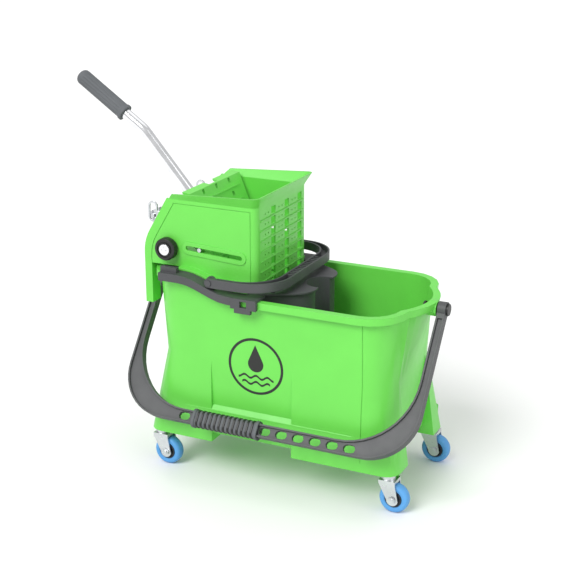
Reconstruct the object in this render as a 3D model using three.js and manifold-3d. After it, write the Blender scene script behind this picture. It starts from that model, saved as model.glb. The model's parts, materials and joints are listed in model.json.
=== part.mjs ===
// Mop bucket with side-press wringer.
// Frame: millimetres, +Z up, +X along the bucket towards its free (pouring) end,
// -Y is the side where the carrying bail hangs. The origin is the bottom centre of the bounding box.
import * as THREE from 'three';
import { mergeVertices } from 'three/addons/utils/BufferGeometryUtils.js';
import Module from 'manifold-3d';

const wasm = await Module();
wasm.setup();

// ---------------------------------------------------------------- driving dimensions

// Fits
const GAP = 0.35; // between touching pieces that are separate solids
const RUNNING = 0.3; // radial clearance of a pin or shaft in its hole
const BEYOND = 400; // reach of a cutting tool that goes right through the object

// Bucket
const BUCKET_HALF_LENGTH = 214; // outside of the end wall at the rim
const BUCKET_HALF_WIDTH = 123; // outside of the side wall at the rim
const BUCKET_CORNER = 55;
const RIM_Z = 332; // rim height above the floor, low part
const RIM_RISE = 24; // how much higher the rim is at the wringer end
const RIM_RISE_END = 62 - BUCKET_HALF_LENGTH; // the rim is at its full height from here on
const RIM_RISE_START = RIM_RISE_END + 90; // the rise starts here and goes up towards -X
const LIP_OUT = 9;
const LIP_HEIGHT = 12;
const WALL = 4;
const TUB_BOTTOM_Z = 92;
const END_TAPER = 0.044; // how much the walls lean in per millimetre of depth
const SIDE_TAPER = 0.04;
const SKIRT_BOTTOM_Z = 82;
const SKIRT_TOP_Z = 125;
const SKIRT_OUT = 6;
const WHEEL_RADIUS = 25;
const LUG_BOTTOM_Z = 2 * WHEEL_RADIUS + 16; // foot of the caster lugs
const LUG_TOP_Z = 212;
const LUG_LENGTH = { left: 138, right: 196 }; // how far the caster lugs run along the bucket
const LUG_CORNER = 26;
const LUG_WIDTH = 60;
const LUG_END_OUT = 27; // how far the corner lug flares past the end wall
const LUG_SIDE_OUT = 9;
const SPOUT_OUT = 25; // how far the pouring bulge stands out of the end wall at the rim
const SPOUT_DEPTH = 130;
const SPOUT_STEPS = 10;
const SEAM_X = 167; // mould seam in the side walls
const SEAM_WIDTH = 1.2;
const SEAM_DEPTH = 0.8;
const BAIL_BOSS_RADIUS = 13;

// Casters
const WHEEL_WIDTH = 19;
const TYRE_THICKNESS = 11;
const CASTER_X = BUCKET_HALF_LENGTH - 4;
const CASTER_Y = BUCKET_HALF_WIDTH - 21;
const CASTER_TRAIL = 12;
const CASTER_STEM_RADIUS = 5.5;
const CASTER_STEM_LENGTH = 32;
const CROWN_THICKNESS = 6;
const RACE_RADIUS = 12.5;
const FORK_PLATE = 3;
const FORK_PLATE_WIDTH = 24;
const FORK_SIDE_PLAY = 1.2;
const AXLE_RADIUS = 4;

// Carrying bail
const BAIL_PIVOT_Z = RIM_Z - 12;
const BAIL_REACH = BAIL_PIVOT_Z - 57; // pivot to the outer edge of the cross bar
const BAIL_BAR = 22;
const BAIL_ARM = 14;
const BAIL_END_CLEARANCE = 2;
const BAIL_THICKNESS = 15;
const BAIL_WEB = 7;
const BAIL_FLANGE = 3;
const BAIL_EYE_SOLID = 18; // the arm has no pocket this close to its pivot
const BAIL_OUTER_CORNER = 84;
const BAIL_INNER_CORNER = 112;
const BAIL_HANG_ANGLE = 37; // degrees from straight down, towards -Y
const BAIL_HOLE_PITCH = 29.8;
const BAIL_HOLE_OFFSET = 13; // middle of the row of finger holes
const BAIL_HOLE_COUNT = 11;
const BAIL_HOLE_LENGTH = 21;
const BAIL_HOLE_HEIGHT = 13;
const BAIL_PIN_RADIUS = 6;
const BAIL_PIN_HEAD_RADIUS = 10;
const BAIL_PIN_HEAD = 3;
const GRIP_LENGTH = 121;
const GRIP_OFFSET = -58; // the hand grip sits towards the heavy wringer end
const GRIP_WALL = 3.5;
const GRIP_RIBS = 7;

// Inner bucket for the dirty water
const INNER_WALL = 3;
const INNER_REAR_X = 22 - BUCKET_HALF_LENGTH;
const INNER_HALF_WIDTH = BUCKET_HALF_WIDTH - 17;
const INNER_CORNER = 46;
const INNER_BOTTOM_Z = RIM_Z - 160;
const LOBE_X = INNER_REAR_X + 206;
const INNER_SIDE_FRONT_X = LOBE_X - 56;
const LOBE_Y = INNER_HALF_WIDTH - 66;
const LOBE_RADIUS = 34;
const RECESS_X = LOBE_X + 34; // middle of the round recess between the lobes
const RECESS_RADIUS = 30;
const DECK_START_X = LOBE_X - 16;
const STRAP_START_X = INNER_REAR_X + 3;
const STRAP_END_X = INNER_REAR_X + 183;
const STRAP_THICKNESS = 5;
const STRAP_TOP = 4;
const STRAP_DROP = 9;
const END_BLOCK_LENGTH = 30;
const END_BLOCK_HEIGHT = 9;
const CLIP_X = STRAP_END_X - 23;
const CLIP_LENGTH = 46;
const CLIP_DROP = 20;

// Small bail of the inner bucket
const SMALL_PIVOT_X = INNER_REAR_X + 96;
const SMALL_LIFT = 10.5; // bail pivot above the rim plate
const SMALL_REACH = 118;
const SMALL_HALF_WIDTH = BUCKET_HALF_WIDTH + 14;
const SMALL_ARM = 9;
const SMALL_HEIGHT = 15;
const SMALL_CORNER = 66;
const SMALL_FRONT = 18;
const SMALL_EDGE = 3; // walls of the bow, whose top is a channel
const SMALL_CHANNEL_DEPTH = 9;
const SMALL_RIBS = 13; // finger ribs across the channel
const SMALL_RIB_PITCH = 9;
const SMALL_RIB_WIDTH = 2.5;
const SMALL_PIN_RADIUS = 3.5;

// Wringer
const WRINGER_HALF_WIDTH = INNER_HALF_WIDTH - 9;
const WRINGER_WALL = 3.5;
const WRINGER_FRONT_X = INNER_REAR_X + 164;
const WRINGER_BACK_X = INNER_REAR_X - 46;
const WRINGER_SHOULDER_Z = RIM_Z + 68;
const WRINGER_TOP_BACK_X = INNER_REAR_X;
const WRINGER_SLANT = 1.69; // rise of the slanting rear edge per millimetre forward
const WRINGER_FOLD_Z = RIM_Z + 144;
const WRINGER_TOP_Z = WRINGER_FOLD_Z + 19; // front end of the flared rim
const WRINGER_TOP_FALL = 9; // how much lower the rear end of the rim is
const FLARE_START_X = WRINGER_TOP_BACK_X + 6;
const FLARE_CHAMFER = 7;
const PANEL_INSET = 13; // the side walls have a raised border this wide
const PANEL_GROOVE = 1.4;
const PANEL_GROOVE_DEPTH = 0.9;
const WRINGER_FLARE = 13;
const WRINGER_FLOOR_Z = RIM_Z - 12;
const WRINGER_CORNER = 12;
const WRINGER_FIT = 1.5; // clearance inside the inner bucket
const APRON_HEIGHT = 18;
const LEG_BOTTOM_Z = RIM_Z - 41;
const LEG_INNER_Y = BUCKET_HALF_WIDTH - BUCKET_CORNER + 4; // outside the pouring bulge
const LEDGE_START_X = WRINGER_BACK_X + 70; // the ledges lie on the inner bucket from here forward
const DRAIN_START_X = WRINGER_BACK_X + 88;
const DRAIN_END_X = WRINGER_FRONT_X - 32;
const DRAIN_COUNT = 4;
const DRAIN_PITCH = 40;
const DRAIN_RADIUS = 6;
const SIEVE_COLUMNS = 3;
const SIEVE_ROWS = 8;
const SIEVE_PITCH_Y = 51;
const SIEVE_PITCH_Z = 17.3;
const SIEVE_RIB_LOW_Z = RIM_Z + 15; // lowest raised rib
const SIEVE_RIB_HEIGHT = 2.2;
const SIEVE_RIB_OUT = 1.6;
const SIEVE_HALF_WIDTH = 82;
const SIEVE_SLOT_WIDTH = 16;
const SIEVE_SLOT_START_Y = -42; // near side of the first slot
const SIEVE_EDGE = 1; // between a rib and the slots above and below it
const SIEVE_HOLE_RADIUS = 1.7;
const SIEVE_HOLE_PLACES = [10, 22]; // from the slot towards the near side

// Press mechanism
const PIVOT_X = INNER_REAR_X + 1;
const PIVOT_Z = RIM_Z + 60;
const SHAFT_RADIUS = 6;
const KNOB_RADIUS = 19;
const KNOB_THICKNESS = 13;
const SCREW_RADIUS = 9.5;
const SCREW_HEAD = 3;
const GUIDE_START_X = PIVOT_X + 58; // guide pin with the press plate drawn back
const GUIDE_START_Z = PIVOT_Z + 2.5;
const GUIDE_SLOPE = -0.06; // fall of the guide slot per millimetre forward
const GUIDE_PIN_RADIUS = 3.7;
const GUIDE_OVERRUN = 21; // spare length of the guide slot at each end
const PLATE_HALF_WIDTH = WRINGER_HALF_WIDTH - 9;
const PLATE_THICKNESS = 5;
const PLATE_TILT = 22; // degrees that the plate leans back
const PLATE_BELOW = 60;
const PLATE_ABOVE = 92;
const PLATE_FLANGE = 13;
const PLATE_ROWS = 6;
const PLATE_COLUMNS = 3;
const PLATE_SLOT_WIDTH = 7;
const PLATE_SLOT_HEIGHT = 8;
const PLATE_PITCH = 45;
const PLATE_PITCH_UP = 24;
const CRANK_RADIUS = 60;
const CRANK_ANGLE = 128; // degrees above +X, lever at rest
const LEVER_SWING = 55; // degrees
const CRANK_PIN_RADIUS = 3.5;
const YOKE_PLAY = 2.3; // the crank pin's clearance in the yoke slot, each side
const YOKE_WALL = 3.2; // metal round the yoke slot
const YOKE_THICKNESS = 3;
const YOKE_ARM = 18;
const PLATE_STANDOFF = YOKE_ARM / 2 + 1; // plate back to guide pin
const CHEEK_THICKNESS = 3;
const CHEEK_HALF_GAP = PLATE_HALF_WIDTH - 14; // mid plane to the inner face of a bracket cheek
const TUBE_RADIUS = 9.5;
const TUBE_WALL = 1.6;
const TUBE_ANGLE = 131; // degrees above +X
const TUBE_OFFSET = 38; // tube axis to lever pivot
const TUBE_START = 6;
const TUBE_STRAIGHT = 196;
const TUBE_UPPER_ANGLE = 145.5;
const TUBE_UPPER = 148;
const TUBE_BEND_RADIUS = 60;
const LEVER_GRIP_RADIUS = 13.5;
const LEVER_GRIP_LENGTH = 108;
const LEVER_GRIP_FLUTES = 8;
const LEVER_BOLT_RADIUS = 3;

// ---------------------------------------------------------------- colours

const COLOURS = {
  green: [0x8ae873, 0.45, 0.0],
  plateGreen: [0x8fe878, 0.5, 0.0],
  darkGrey: [0x57585a, 0.6, 0.0],
  bailGrey: [0x5c5d5e, 0.6, 0.0],
  gripGrey: [0x797e82, 0.75, 0.0],
  black: [0x1c1f1c, 0.5, 0.0],
  blue: [0x67a1d3, 0.5, 0.0],
  hubDark: [0x18212a, 0.5, 0.0],
  steel: [0xc4c7c9, 0.3, 1.0],
  chrome: [0xe6e8ea, 0.12, 1.0],
};

// ---------------------------------------------------------------- solid helpers

const degrees = (angle) => (angle * Math.PI) / 180;

// A closed three.js geometry as a solid that can be joined and cut.
function solid(geometry) {
  const bare = geometry.clone();
  bare.deleteAttribute('normal');
  bare.deleteAttribute('uv');
  const merged = mergeVertices(bare, 1e-4);
  const kept = [];
  const index = merged.index.array;
  for (let i = 0; i < index.length; i += 3) {
    const [a, b, c] = [index[i], index[i + 1], index[i + 2]];
    if (a !== b && b !== c && a !== c) kept.push(a, b, c);
  }
  const mesh = new wasm.Mesh({
    numProp: 3,
    vertProperties: new Float32Array(merged.attributes.position.array),
    triVerts: new Uint32Array(kept),
  });
  return new wasm.Manifold(mesh);
}

function join(...solids) {
  return solids.reduce((all, next) => all.add(next));
}

function box(x0, x1, y0, y1, z0, z1) {
  const geometry = new THREE.BoxGeometry(x1 - x0, y1 - y0, z1 - z0);
  geometry.translate((x0 + x1) / 2, (y0 + y1) / 2, (z0 + z1) / 2);
  return solid(geometry);
}

// A round bar between two points.
function rod(radius, from, to, sides = 14) {
  const start = new THREE.Vector3(...from);
  const along = new THREE.Vector3(...to).sub(start);
  const geometry = new THREE.CylinderGeometry(radius, radius, along.length(), sides);
  const turn = new THREE.Quaternion();
  turn.setFromUnitVectors(new THREE.Vector3(0, 1, 0), along.clone().normalize());
  geometry.applyQuaternion(turn);
  const middle = start.addScaledVector(along, 0.5);
  geometry.translate(middle.x, middle.y, middle.z);
  return solid(geometry);
}

// The running bore for a pin that lies across the object, along Y.
function crossBore(pinRadius, x, z, sides = 16) {
  return rod(pinRadius + RUNNING, [x, -BEYOND, z], [x, BEYOND, z], sides);
}

// A plan outline (x, y) extruded from z0 to z1.
function planPrism(shape, z0, z1, curveSegments = 8) {
  const settings = { depth: z1 - z0, bevelEnabled: false, curveSegments };
  const geometry = new THREE.ExtrudeGeometry(shape, settings);
  geometry.translate(0, 0, z0);
  return solid(geometry);
}

// A side outline (x, z) extruded from y0 to y1.
function sidePrism(shape, y0, y1, curveSegments = 8) {
  const settings = { depth: y1 - y0, bevelEnabled: false, curveSegments };
  const geometry = new THREE.ExtrudeGeometry(shape, settings);
  geometry.rotateX(Math.PI / 2);
  geometry.translate(0, y1, 0);
  return solid(geometry);
}

function shapeOf(points) {
  return new THREE.Shape(points.map(([x, y]) => new THREE.Vector2(x, y)));
}

// A rounded rectangle as a list of points, anticlockwise.
function roundedOutline(x0, x1, y0, y1, radius, steps = 6) {
  const corners = [
    [x1 - radius, y1 - radius, 0],
    [x0 + radius, y1 - radius, 90],
    [x0 + radius, y0 + radius, 180],
    [x1 - radius, y0 + radius, 270],
  ];
  const points = [];
  for (const [cx, cy, start] of corners) {
    for (let i = 0; i <= steps; i += 1) {
      const angle = degrees(start + (90 * i) / steps);
      points.push([cx + radius * Math.cos(angle), cy + radius * Math.sin(angle)]);
    }
  }
  return points;
}

// A slot outline: a straight stretch between two points with round ends.
function slotShape(ax, ay, bx, by, radius, steps = 8) {
  const heading = Math.atan2(by - ay, bx - ax);
  const points = [];
  for (let i = 0; i <= steps; i += 1) {
    const angle = heading - Math.PI / 2 + (Math.PI * i) / steps;
    points.push([bx + radius * Math.cos(angle), by + radius * Math.sin(angle)]);
  }
  for (let i = 0; i <= steps; i += 1) {
    const angle = heading + Math.PI / 2 + (Math.PI * i) / steps;
    points.push([ax + radius * Math.cos(angle), ay + radius * Math.sin(angle)]);
  }
  return shapeOf(points);
}

function circleShape(x, y, radius, steps = 20) {
  const points = [];
  for (let i = 0; i < steps; i += 1) {
    const angle = (2 * Math.PI * i) / steps;
    points.push([x + radius * Math.cos(angle), y + radius * Math.sin(angle)]);
  }
  return shapeOf(points);
}

// A solid skinned over level outlines with equal point counts, from the lowest to the highest.
function loft(levels) {
  const count = levels[0].outline.length;
  const positions = [];
  for (const { outline, z } of levels) {
    for (const [x, y] of outline) positions.push(x, y, z);
  }
  const index = [];
  for (let level = 0; level < levels.length - 1; level += 1) {
    for (let i = 0; i < count; i += 1) {
      const a = level * count + i;
      const b = level * count + ((i + 1) % count);
      index.push(a, b, b + count, a, b + count, a + count);
    }
  }
  const top = (levels.length - 1) * count;
  for (let i = 1; i < count - 1; i += 1) {
    index.push(0, i + 1, i);
    index.push(top, top + i, top + i + 1);
  }
  const geometry = new THREE.BufferGeometry();
  geometry.setAttribute('position', new THREE.Float32BufferAttribute(positions, 3));
  geometry.setIndex(index);
  return solid(geometry);
}

const object = new THREE.Group();

// Adds a finished solid to the object as a named mesh.
function part(name, body, colourName) {
  const mesh = body.getMesh();
  const geometry = new THREE.BufferGeometry();
  const positions = new Float32Array(mesh.vertProperties);
  geometry.setAttribute('position', new THREE.BufferAttribute(positions, 3));
  geometry.setIndex(new THREE.BufferAttribute(new Uint32Array(mesh.triVerts), 1));
  geometry.computeVertexNormals();
  const [color, roughness, metalness] = COLOURS[colourName];
  const material = new THREE.MeshStandardMaterial({ color, roughness, metalness });
  const piece = new THREE.Mesh(geometry, material);
  piece.name = name;
  object.add(piece);
  return piece;
}

const SIDES = [
  ['near', -1],
  ['far', 1],
];
const ENDS = [
  ['left', -1],
  ['right', 1],
];

// ---------------------------------------------------------------- bucket outlines

// Rim height at a place along the bucket: level, then an S-curve up to the wringer end.
function rimZ(x) {
  const t = THREE.MathUtils.smoothstep(-x, -RIM_RISE_START, -RIM_RISE_END);
  return RIM_Z + RIM_RISE * t;
}

// Points along the rim line between two places, offset in height.
function rimLine(x0, x1, lift) {
  const stations = [x0];
  const steps = 6;
  for (let i = 0; i <= steps; i += 1) {
    const x = RIM_RISE_END + ((RIM_RISE_START - RIM_RISE_END) * i) / steps;
    if (x > x0 + 1 && x < x1 - 1) stations.push(x);
  }
  stations.push(x1);
  return stations.map((x) => [x, rimZ(x) + lift]);
}

// A slab under the rim line, seen from the side.
function rimSlab(x0, x1, low, high) {
  const upper = rimLine(x0, x1, high);
  const lower = rimLine(x0, x1, low).reverse();
  return shapeOf([...lower.reverse(), ...upper.reverse()]);
}

const TOP_Z = RIM_Z + RIM_RISE + 40;

// How far the pouring bulge stands out of the end wall at a height.
// It grows from nothing up to the rim and is upright above it.
function bulgeAt(z) {
  const depth = Math.max(RIM_Z - z, 0);
  return SPOUT_OUT * Math.max(1 - depth / SPOUT_DEPTH, 0);
}

// Plan outline of the tub: a rounded rectangle whose two ends swell out in a flat arc.
function tubOutline(z, out) {
  const depth = Math.max(RIM_Z - z, 0);
  const halfX = BUCKET_HALF_LENGTH - END_TAPER * depth + out;
  const halfY = BUCKET_HALF_WIDTH - SIDE_TAPER * depth + out;
  const corners = roundedOutline(-halfX, halfX, -halfY, halfY, BUCKET_CORNER + out, 5);
  const chord = halfY - BUCKET_CORNER - out;
  const swell = bulgeAt(z);
  const end = (side) => {
    const points = [];
    for (let i = 1; i < SPOUT_STEPS; i += 1) {
      const across = (2 * i) / SPOUT_STEPS - 1;
      points.push([side * (halfX + swell * (1 - across * across)), side * across * chord]);
    }
    return points;
  };
  const half = corners.length / 2;
  return [...corners.slice(0, half), ...end(-1), ...corners.slice(half), ...end(1)];
}

function tubSolid(z0, z1, out) {
  const heights = [z0, RIM_Z - SPOUT_DEPTH, RIM_Z, z1].filter((z) => z >= z0 && z <= z1);
  const distinct = heights.filter((z, i) => i === 0 || z > heights[i - 1]);
  return loft(distinct.map((z) => ({ outline: tubOutline(z, out), z })));
}

const PIN_OUTER_X = BUCKET_HALF_LENGTH + SPOUT_OUT + LIP_OUT + 1; // face of the bail pivot boss
const BAIL_INNER_X = PIN_OUTER_X + BAIL_END_CLEARANCE;
const BAIL_OUTER_X = BAIL_INNER_X + BAIL_ARM;

// The caster lugs are cut from a copy of the tub that flares out towards its foot.
function flaredFoot(inset) {
  const level = (z) => {
    const t = (LUG_TOP_Z - z) / (LUG_TOP_Z - LUG_BOTTOM_Z);
    const halfX = BUCKET_HALF_LENGTH - END_TAPER * (RIM_Z - z) + LUG_END_OUT * t - inset;
    const halfY = BUCKET_HALF_WIDTH - SIDE_TAPER * (RIM_Z - z) + LUG_SIDE_OUT * t - inset;
    const radius = BUCKET_CORNER + (LUG_CORNER - BUCKET_CORNER) * t - inset;
    return { outline: roundedOutline(-halfX, halfX, -halfY, halfY, radius, 5), z };
  };
  return loft([level(LUG_BOTTOM_Z - inset), level(LUG_TOP_Z - inset * 2)]);
}

function lugSolid(endName, endX, sideY, inset) {
  const inX = endX * (BUCKET_HALF_LENGTH + LUG_END_OUT - LUG_LENGTH[endName] + inset);
  const outX = endX * (BUCKET_HALF_LENGTH + 2 * LUG_END_OUT);
  const inY = sideY * (BUCKET_HALF_WIDTH - LUG_WIDTH + inset);
  const outY = sideY * (BUCKET_HALF_WIDTH + 2 * LUG_END_OUT);
  const [x0, x1] = [Math.min(inX, outX), Math.max(inX, outX)];
  const [y0, y1] = [Math.min(inY, outY), Math.max(inY, outY)];
  return flaredFoot(inset).intersect(box(x0, x1, y0, y1, 0, LUG_TOP_Z));
}

// The ledge round the foot of the tub. The hollow inside it starts a little lower, so that it is open below.
function skirtSolid(out) {
  const low = out < 0 ? SKIRT_BOTTOM_Z - WALL : SKIRT_BOTTOM_Z;
  const high = SKIRT_TOP_Z + SKIRT_OUT + 2;
  return loft([
    { outline: tubOutline(low, out + SKIRT_OUT), z: low },
    { outline: tubOutline(SKIRT_TOP_Z, out + SKIRT_OUT), z: SKIRT_TOP_Z },
    { outline: tubOutline(high, out), z: high },
  ]);
}

const STEM_TOP_Z = LUG_BOTTOM_Z + CASTER_STEM_LENGTH;

// Thin upright groove in both side walls, as deep as a mould seam.
function seam() {
  const slab = box(SEAM_X, SEAM_X + SEAM_WIDTH, -BEYOND, BEYOND, SKIRT_BOTTOM_Z, RIM_Z - LIP_HEIGHT);
  const kept = join(tubSolid(0, TOP_Z, -SEAM_DEPTH), skirtSolid(-SEAM_DEPTH), flaredFoot(SEAM_DEPTH));
  return slab.subtract(kept);
}

function bucketShell() {
  const corners = ENDS.flatMap(([endName, endX]) => SIDES.map(([, sideY]) => [endName, endX, sideY]));
  let base = skirtSolid(0);
  let hollow = skirtSolid(-WALL);
  for (const [endName, endX, sideY] of corners) {
    base = base.add(lugSolid(endName, endX, sideY, 0));
    hollow = hollow.add(lugSolid(endName, endX, sideY, WALL));
  }
  base = base.subtract(hollow);
  for (const [, endX, sideY] of corners) {
    const at = [CASTER_X * endX, CASTER_Y * sideY];
    base = base.add(rod(CASTER_STEM_RADIUS + 7, [...at, LUG_BOTTOM_Z], [...at, STEM_TOP_Z + 6], 12));
  }

  const underRim = sidePrism(rimSlab(-BEYOND, BEYOND, -BEYOND, 0), -BEYOND, BEYOND);
  const tub = tubSolid(TUB_BOTTOM_Z, TOP_Z, 0).intersect(underRim);
  const lipSlab = sidePrism(rimSlab(-BEYOND, BEYOND, -LIP_HEIGHT, 0), -BEYOND, BEYOND);
  const lip = tubSolid(RIM_Z - 60, TOP_Z, LIP_OUT).intersect(lipSlab);

  let body = join(tub, base, lip);
  for (const [, end] of ENDS) {
    const inside = end * (BUCKET_HALF_LENGTH + 2);
    body = body.add(rod(BAIL_BOSS_RADIUS, [inside, 0, BAIL_PIVOT_Z], [end * PIN_OUTER_X, 0, BAIL_PIVOT_Z]));
  }
  body = body.subtract(tubSolid(TUB_BOTTOM_Z + WALL, TOP_Z, -WALL)).subtract(seam());
  for (const [, end] of ENDS) {
    const bore = BAIL_PIN_RADIUS + RUNNING;
    const inside = end * (BUCKET_HALF_LENGTH - SPOUT_OUT);
    const outside = end * (PIN_OUTER_X + SPOUT_OUT);
    body = body.subtract(rod(bore, [inside, 0, BAIL_PIVOT_Z], [outside, 0, BAIL_PIVOT_Z]));
  }
  for (const [, endX, sideY] of corners) {
    const at = [CASTER_X * endX, CASTER_Y * sideY];
    const bore = CASTER_STEM_RADIUS + RUNNING;
    body = body.subtract(rod(bore, [...at, LUG_BOTTOM_Z - 2], [...at, STEM_TOP_Z + GAP]));
  }
  return body;
}

part('bucket_shell', bucketShell(), 'green');

// ---------------------------------------------------------------- casters

const FORK_INNER_Y = WHEEL_WIDTH / 2 + FORK_SIDE_PLAY;
const FORK_OUTER_Y = FORK_INNER_Y + FORK_PLATE;
const CROWN_LOW_Z = 2 * WHEEL_RADIUS + 1.5;
const CROWN_HIGH_Z = CROWN_LOW_Z + CROWN_THICKNESS;
const HUB_RADIUS = WHEEL_RADIUS - TYRE_THICKNESS;

function casterStem(x, y) {
  const flange = rod(9, [x, y, CROWN_LOW_Z - 1.2], [x, y, CROWN_LOW_Z - GAP]);
  return flange.add(rod(CASTER_STEM_RADIUS, [x, y, CROWN_LOW_Z - 1.2], [x, y, STEM_TOP_Z]));
}

function casterFork(x, y) {
  const wheelX = x + CASTER_TRAIL;
  const plateShape = new THREE.Shape();
  plateShape.moveTo(wheelX + 10, WHEEL_RADIUS - 2);
  plateShape.absarc(wheelX, WHEEL_RADIUS, 10, degrees(-11), degrees(-180), true);
  plateShape.lineTo(x - 12, CROWN_HIGH_Z - 5);
  plateShape.lineTo(x - 12, CROWN_HIGH_Z);
  plateShape.lineTo(x - 12 + FORK_PLATE_WIDTH + 4, CROWN_HIGH_Z);
  plateShape.lineTo(x - 8 + FORK_PLATE_WIDTH, CROWN_HIGH_Z - 6);
  const plates = SIDES.map(([, side]) => {
    const inner = y + side * FORK_INNER_Y;
    const outer = y + side * FORK_OUTER_Y;
    return sidePrism(plateShape, Math.min(inner, outer), Math.max(inner, outer), 4);
  });
  const crownEnd = x - 8 + FORK_PLATE_WIDTH;
  const crown = box(x - 12, crownEnd, y - FORK_OUTER_Y, y + FORK_OUTER_Y, CROWN_LOW_Z, CROWN_HIGH_Z);
  const race = rod(RACE_RADIUS, [x, y, CROWN_HIGH_Z - 1], [x, y, LUG_BOTTOM_Z - GAP], 20);
  let fork = join(crown, race, ...plates);
  const stemBore = CASTER_STEM_RADIUS + RUNNING;
  fork = fork.subtract(rod(stemBore, [x, y, 0], [x, y, LUG_BOTTOM_Z + 5]));
  return fork.subtract(crossBore(AXLE_RADIUS, wheelX, WHEEL_RADIUS, 12));
}

function casterAxle(x, y) {
  const wheelX = x + CASTER_TRAIL;
  const reach = FORK_OUTER_Y + GAP;
  const at = (across) => [wheelX, y + across, WHEEL_RADIUS];
  let axle = rod(AXLE_RADIUS, at(-reach - 4), at(reach + 4), 10);
  for (const [, side] of SIDES) axle = axle.add(rod(6.5, at(side * reach), at(side * (reach + 3)), 6));
  return axle;
}

function casterHub(x, y) {
  const wheelX = x + CASTER_TRAIL;
  const bore = AXLE_RADIUS + RUNNING;
  const half = WHEEL_WIDTH / 2 - 0.5;
  const bossHalf = WHEEL_WIDTH / 2 + FORK_SIDE_PLAY - 0.5;
  const profile = [
    [bore, -bossHalf],
    [8, -bossHalf],
    [8, -2.5],
    [HUB_RADIUS - 4, -2.5],
    [HUB_RADIUS - 4, -half],
    [HUB_RADIUS, -half],
    [HUB_RADIUS, half],
    [HUB_RADIUS - 4, half],
    [HUB_RADIUS - 4, 2.5],
    [8, 2.5],
    [8, bossHalf],
    [bore, bossHalf],
    [bore, -bossHalf],
  ];
  const hub = new THREE.LatheGeometry(profile.map(([r, t]) => new THREE.Vector2(r, t)), 16);
  hub.translate(wheelX, y, WHEEL_RADIUS);
  return solid(hub);
}

function casterTyre(x, y) {
  const wheelX = x + CASTER_TRAIL;
  const half = WHEEL_WIDTH / 2;
  const inner = HUB_RADIUS + GAP;
  const profile = [
    [inner, -half],
    [WHEEL_RADIUS - 2, -half],
    [WHEEL_RADIUS, -half + 4],
    [WHEEL_RADIUS, half - 4],
    [WHEEL_RADIUS - 2, half],
    [inner, half],
    [inner, -half],
  ];
  const tyre = new THREE.LatheGeometry(profile.map(([r, t]) => new THREE.Vector2(r, t)), 20);
  tyre.translate(wheelX, y, WHEEL_RADIUS);
  return solid(tyre);
}

for (const [endName, endX] of ENDS) {
  for (const [sideName, sideY] of SIDES) {
    const x = CASTER_X * endX;
    const y = CASTER_Y * sideY;
    const label = `${endName}_${sideName}`;
    part(`caster_stem_${label}`, casterStem(x, y), 'steel');
    part(`caster_fork_${label}`, casterFork(x, y), 'steel');
    part(`caster_axle_${label}`, casterAxle(x, y), 'steel');
    part(`caster_hub_${label}`, casterHub(x, y), 'hubDark');
    part(`caster_tyre_${label}`, casterTyre(x, y), 'blue');
  }
}

// ---------------------------------------------------------------- carrying bail

// The bail is drawn lying in the plane y = 0 with the cross bar straight down, then swung out.
function hang(body) {
  const about = new THREE.Matrix4().makeTranslation(0, 0, BAIL_PIVOT_Z);
  about.multiply(new THREE.Matrix4().makeRotationX(degrees(-BAIL_HANG_ANGLE)));
  about.multiply(new THREE.Matrix4().makeTranslation(0, 0, -BAIL_PIVOT_Z));
  return body.transform(about.elements);
}

function bailOutline(half, bottom, corner, top) {
  const shape = new THREE.Shape();
  shape.moveTo(-half, top);
  shape.lineTo(-half, bottom + corner);
  shape.absarc(-half + corner, bottom + corner, corner, Math.PI, 1.5 * Math.PI, false);
  shape.lineTo(half - corner, bottom);
  shape.absarc(half - corner, bottom + corner, corner, 1.5 * Math.PI, 2 * Math.PI, false);
  shape.lineTo(half, top);
  return shape;
}

function bailFrame() {
  const low = BAIL_PIVOT_Z - BAIL_REACH;
  const half = BAIL_THICKNESS / 2;
  const top = BAIL_PIVOT_Z;
  const outer = bailOutline(BAIL_OUTER_X, low, BAIL_OUTER_CORNER, top);
  const inner = bailOutline(BAIL_INNER_X, low + BAIL_BAR, BAIL_INNER_CORNER, top + 1);
  let frame = sidePrism(outer, -half, half, 6).subtract(sidePrism(inner, -half - 1, half + 1, 6));
  for (const [, end] of ENDS) {
    frame = frame.add(rod(half + 5, [end * BAIL_INNER_X, 0, top], [end * BAIL_OUTER_X, 0, top]));
  }
  const rimOuter = bailOutline(
    BAIL_OUTER_X - BAIL_FLANGE,
    low + BAIL_FLANGE,
    BAIL_OUTER_CORNER - BAIL_FLANGE,
    top - BAIL_EYE_SOLID,
  );
  const rimInner = bailOutline(
    BAIL_INNER_X + BAIL_FLANGE,
    low + BAIL_BAR - BAIL_FLANGE,
    BAIL_INNER_CORNER + BAIL_FLANGE,
    top,
  );
  for (const [, face] of SIDES) {
    const from = Math.min((face * BAIL_WEB) / 2, face * (half + 1));
    const to = Math.max((face * BAIL_WEB) / 2, face * (half + 1));
    const pocket = sidePrism(rimOuter, from, to, 6).subtract(sidePrism(rimInner, from - 1, to + 1, 6));
    frame = frame.subtract(pocket);
  }
  const holeZ = low + BAIL_BAR / 2;
  const reach = (BAIL_HOLE_LENGTH - BAIL_HOLE_HEIGHT) / 2;
  for (let i = 0; i < BAIL_HOLE_COUNT; i += 1) {
    const x = BAIL_HOLE_OFFSET + (i - (BAIL_HOLE_COUNT - 1) / 2) * BAIL_HOLE_PITCH;
    const hole = slotShape(x - reach, holeZ, x + reach, holeZ, BAIL_HOLE_HEIGHT / 2, 4);
    frame = frame.subtract(sidePrism(hole, -half, half));
  }
  const bore = rod(BAIL_PIN_RADIUS + RUNNING, [-400, 0, top], [400, 0, top]);
  return hang(frame.subtract(bore));
}

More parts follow.
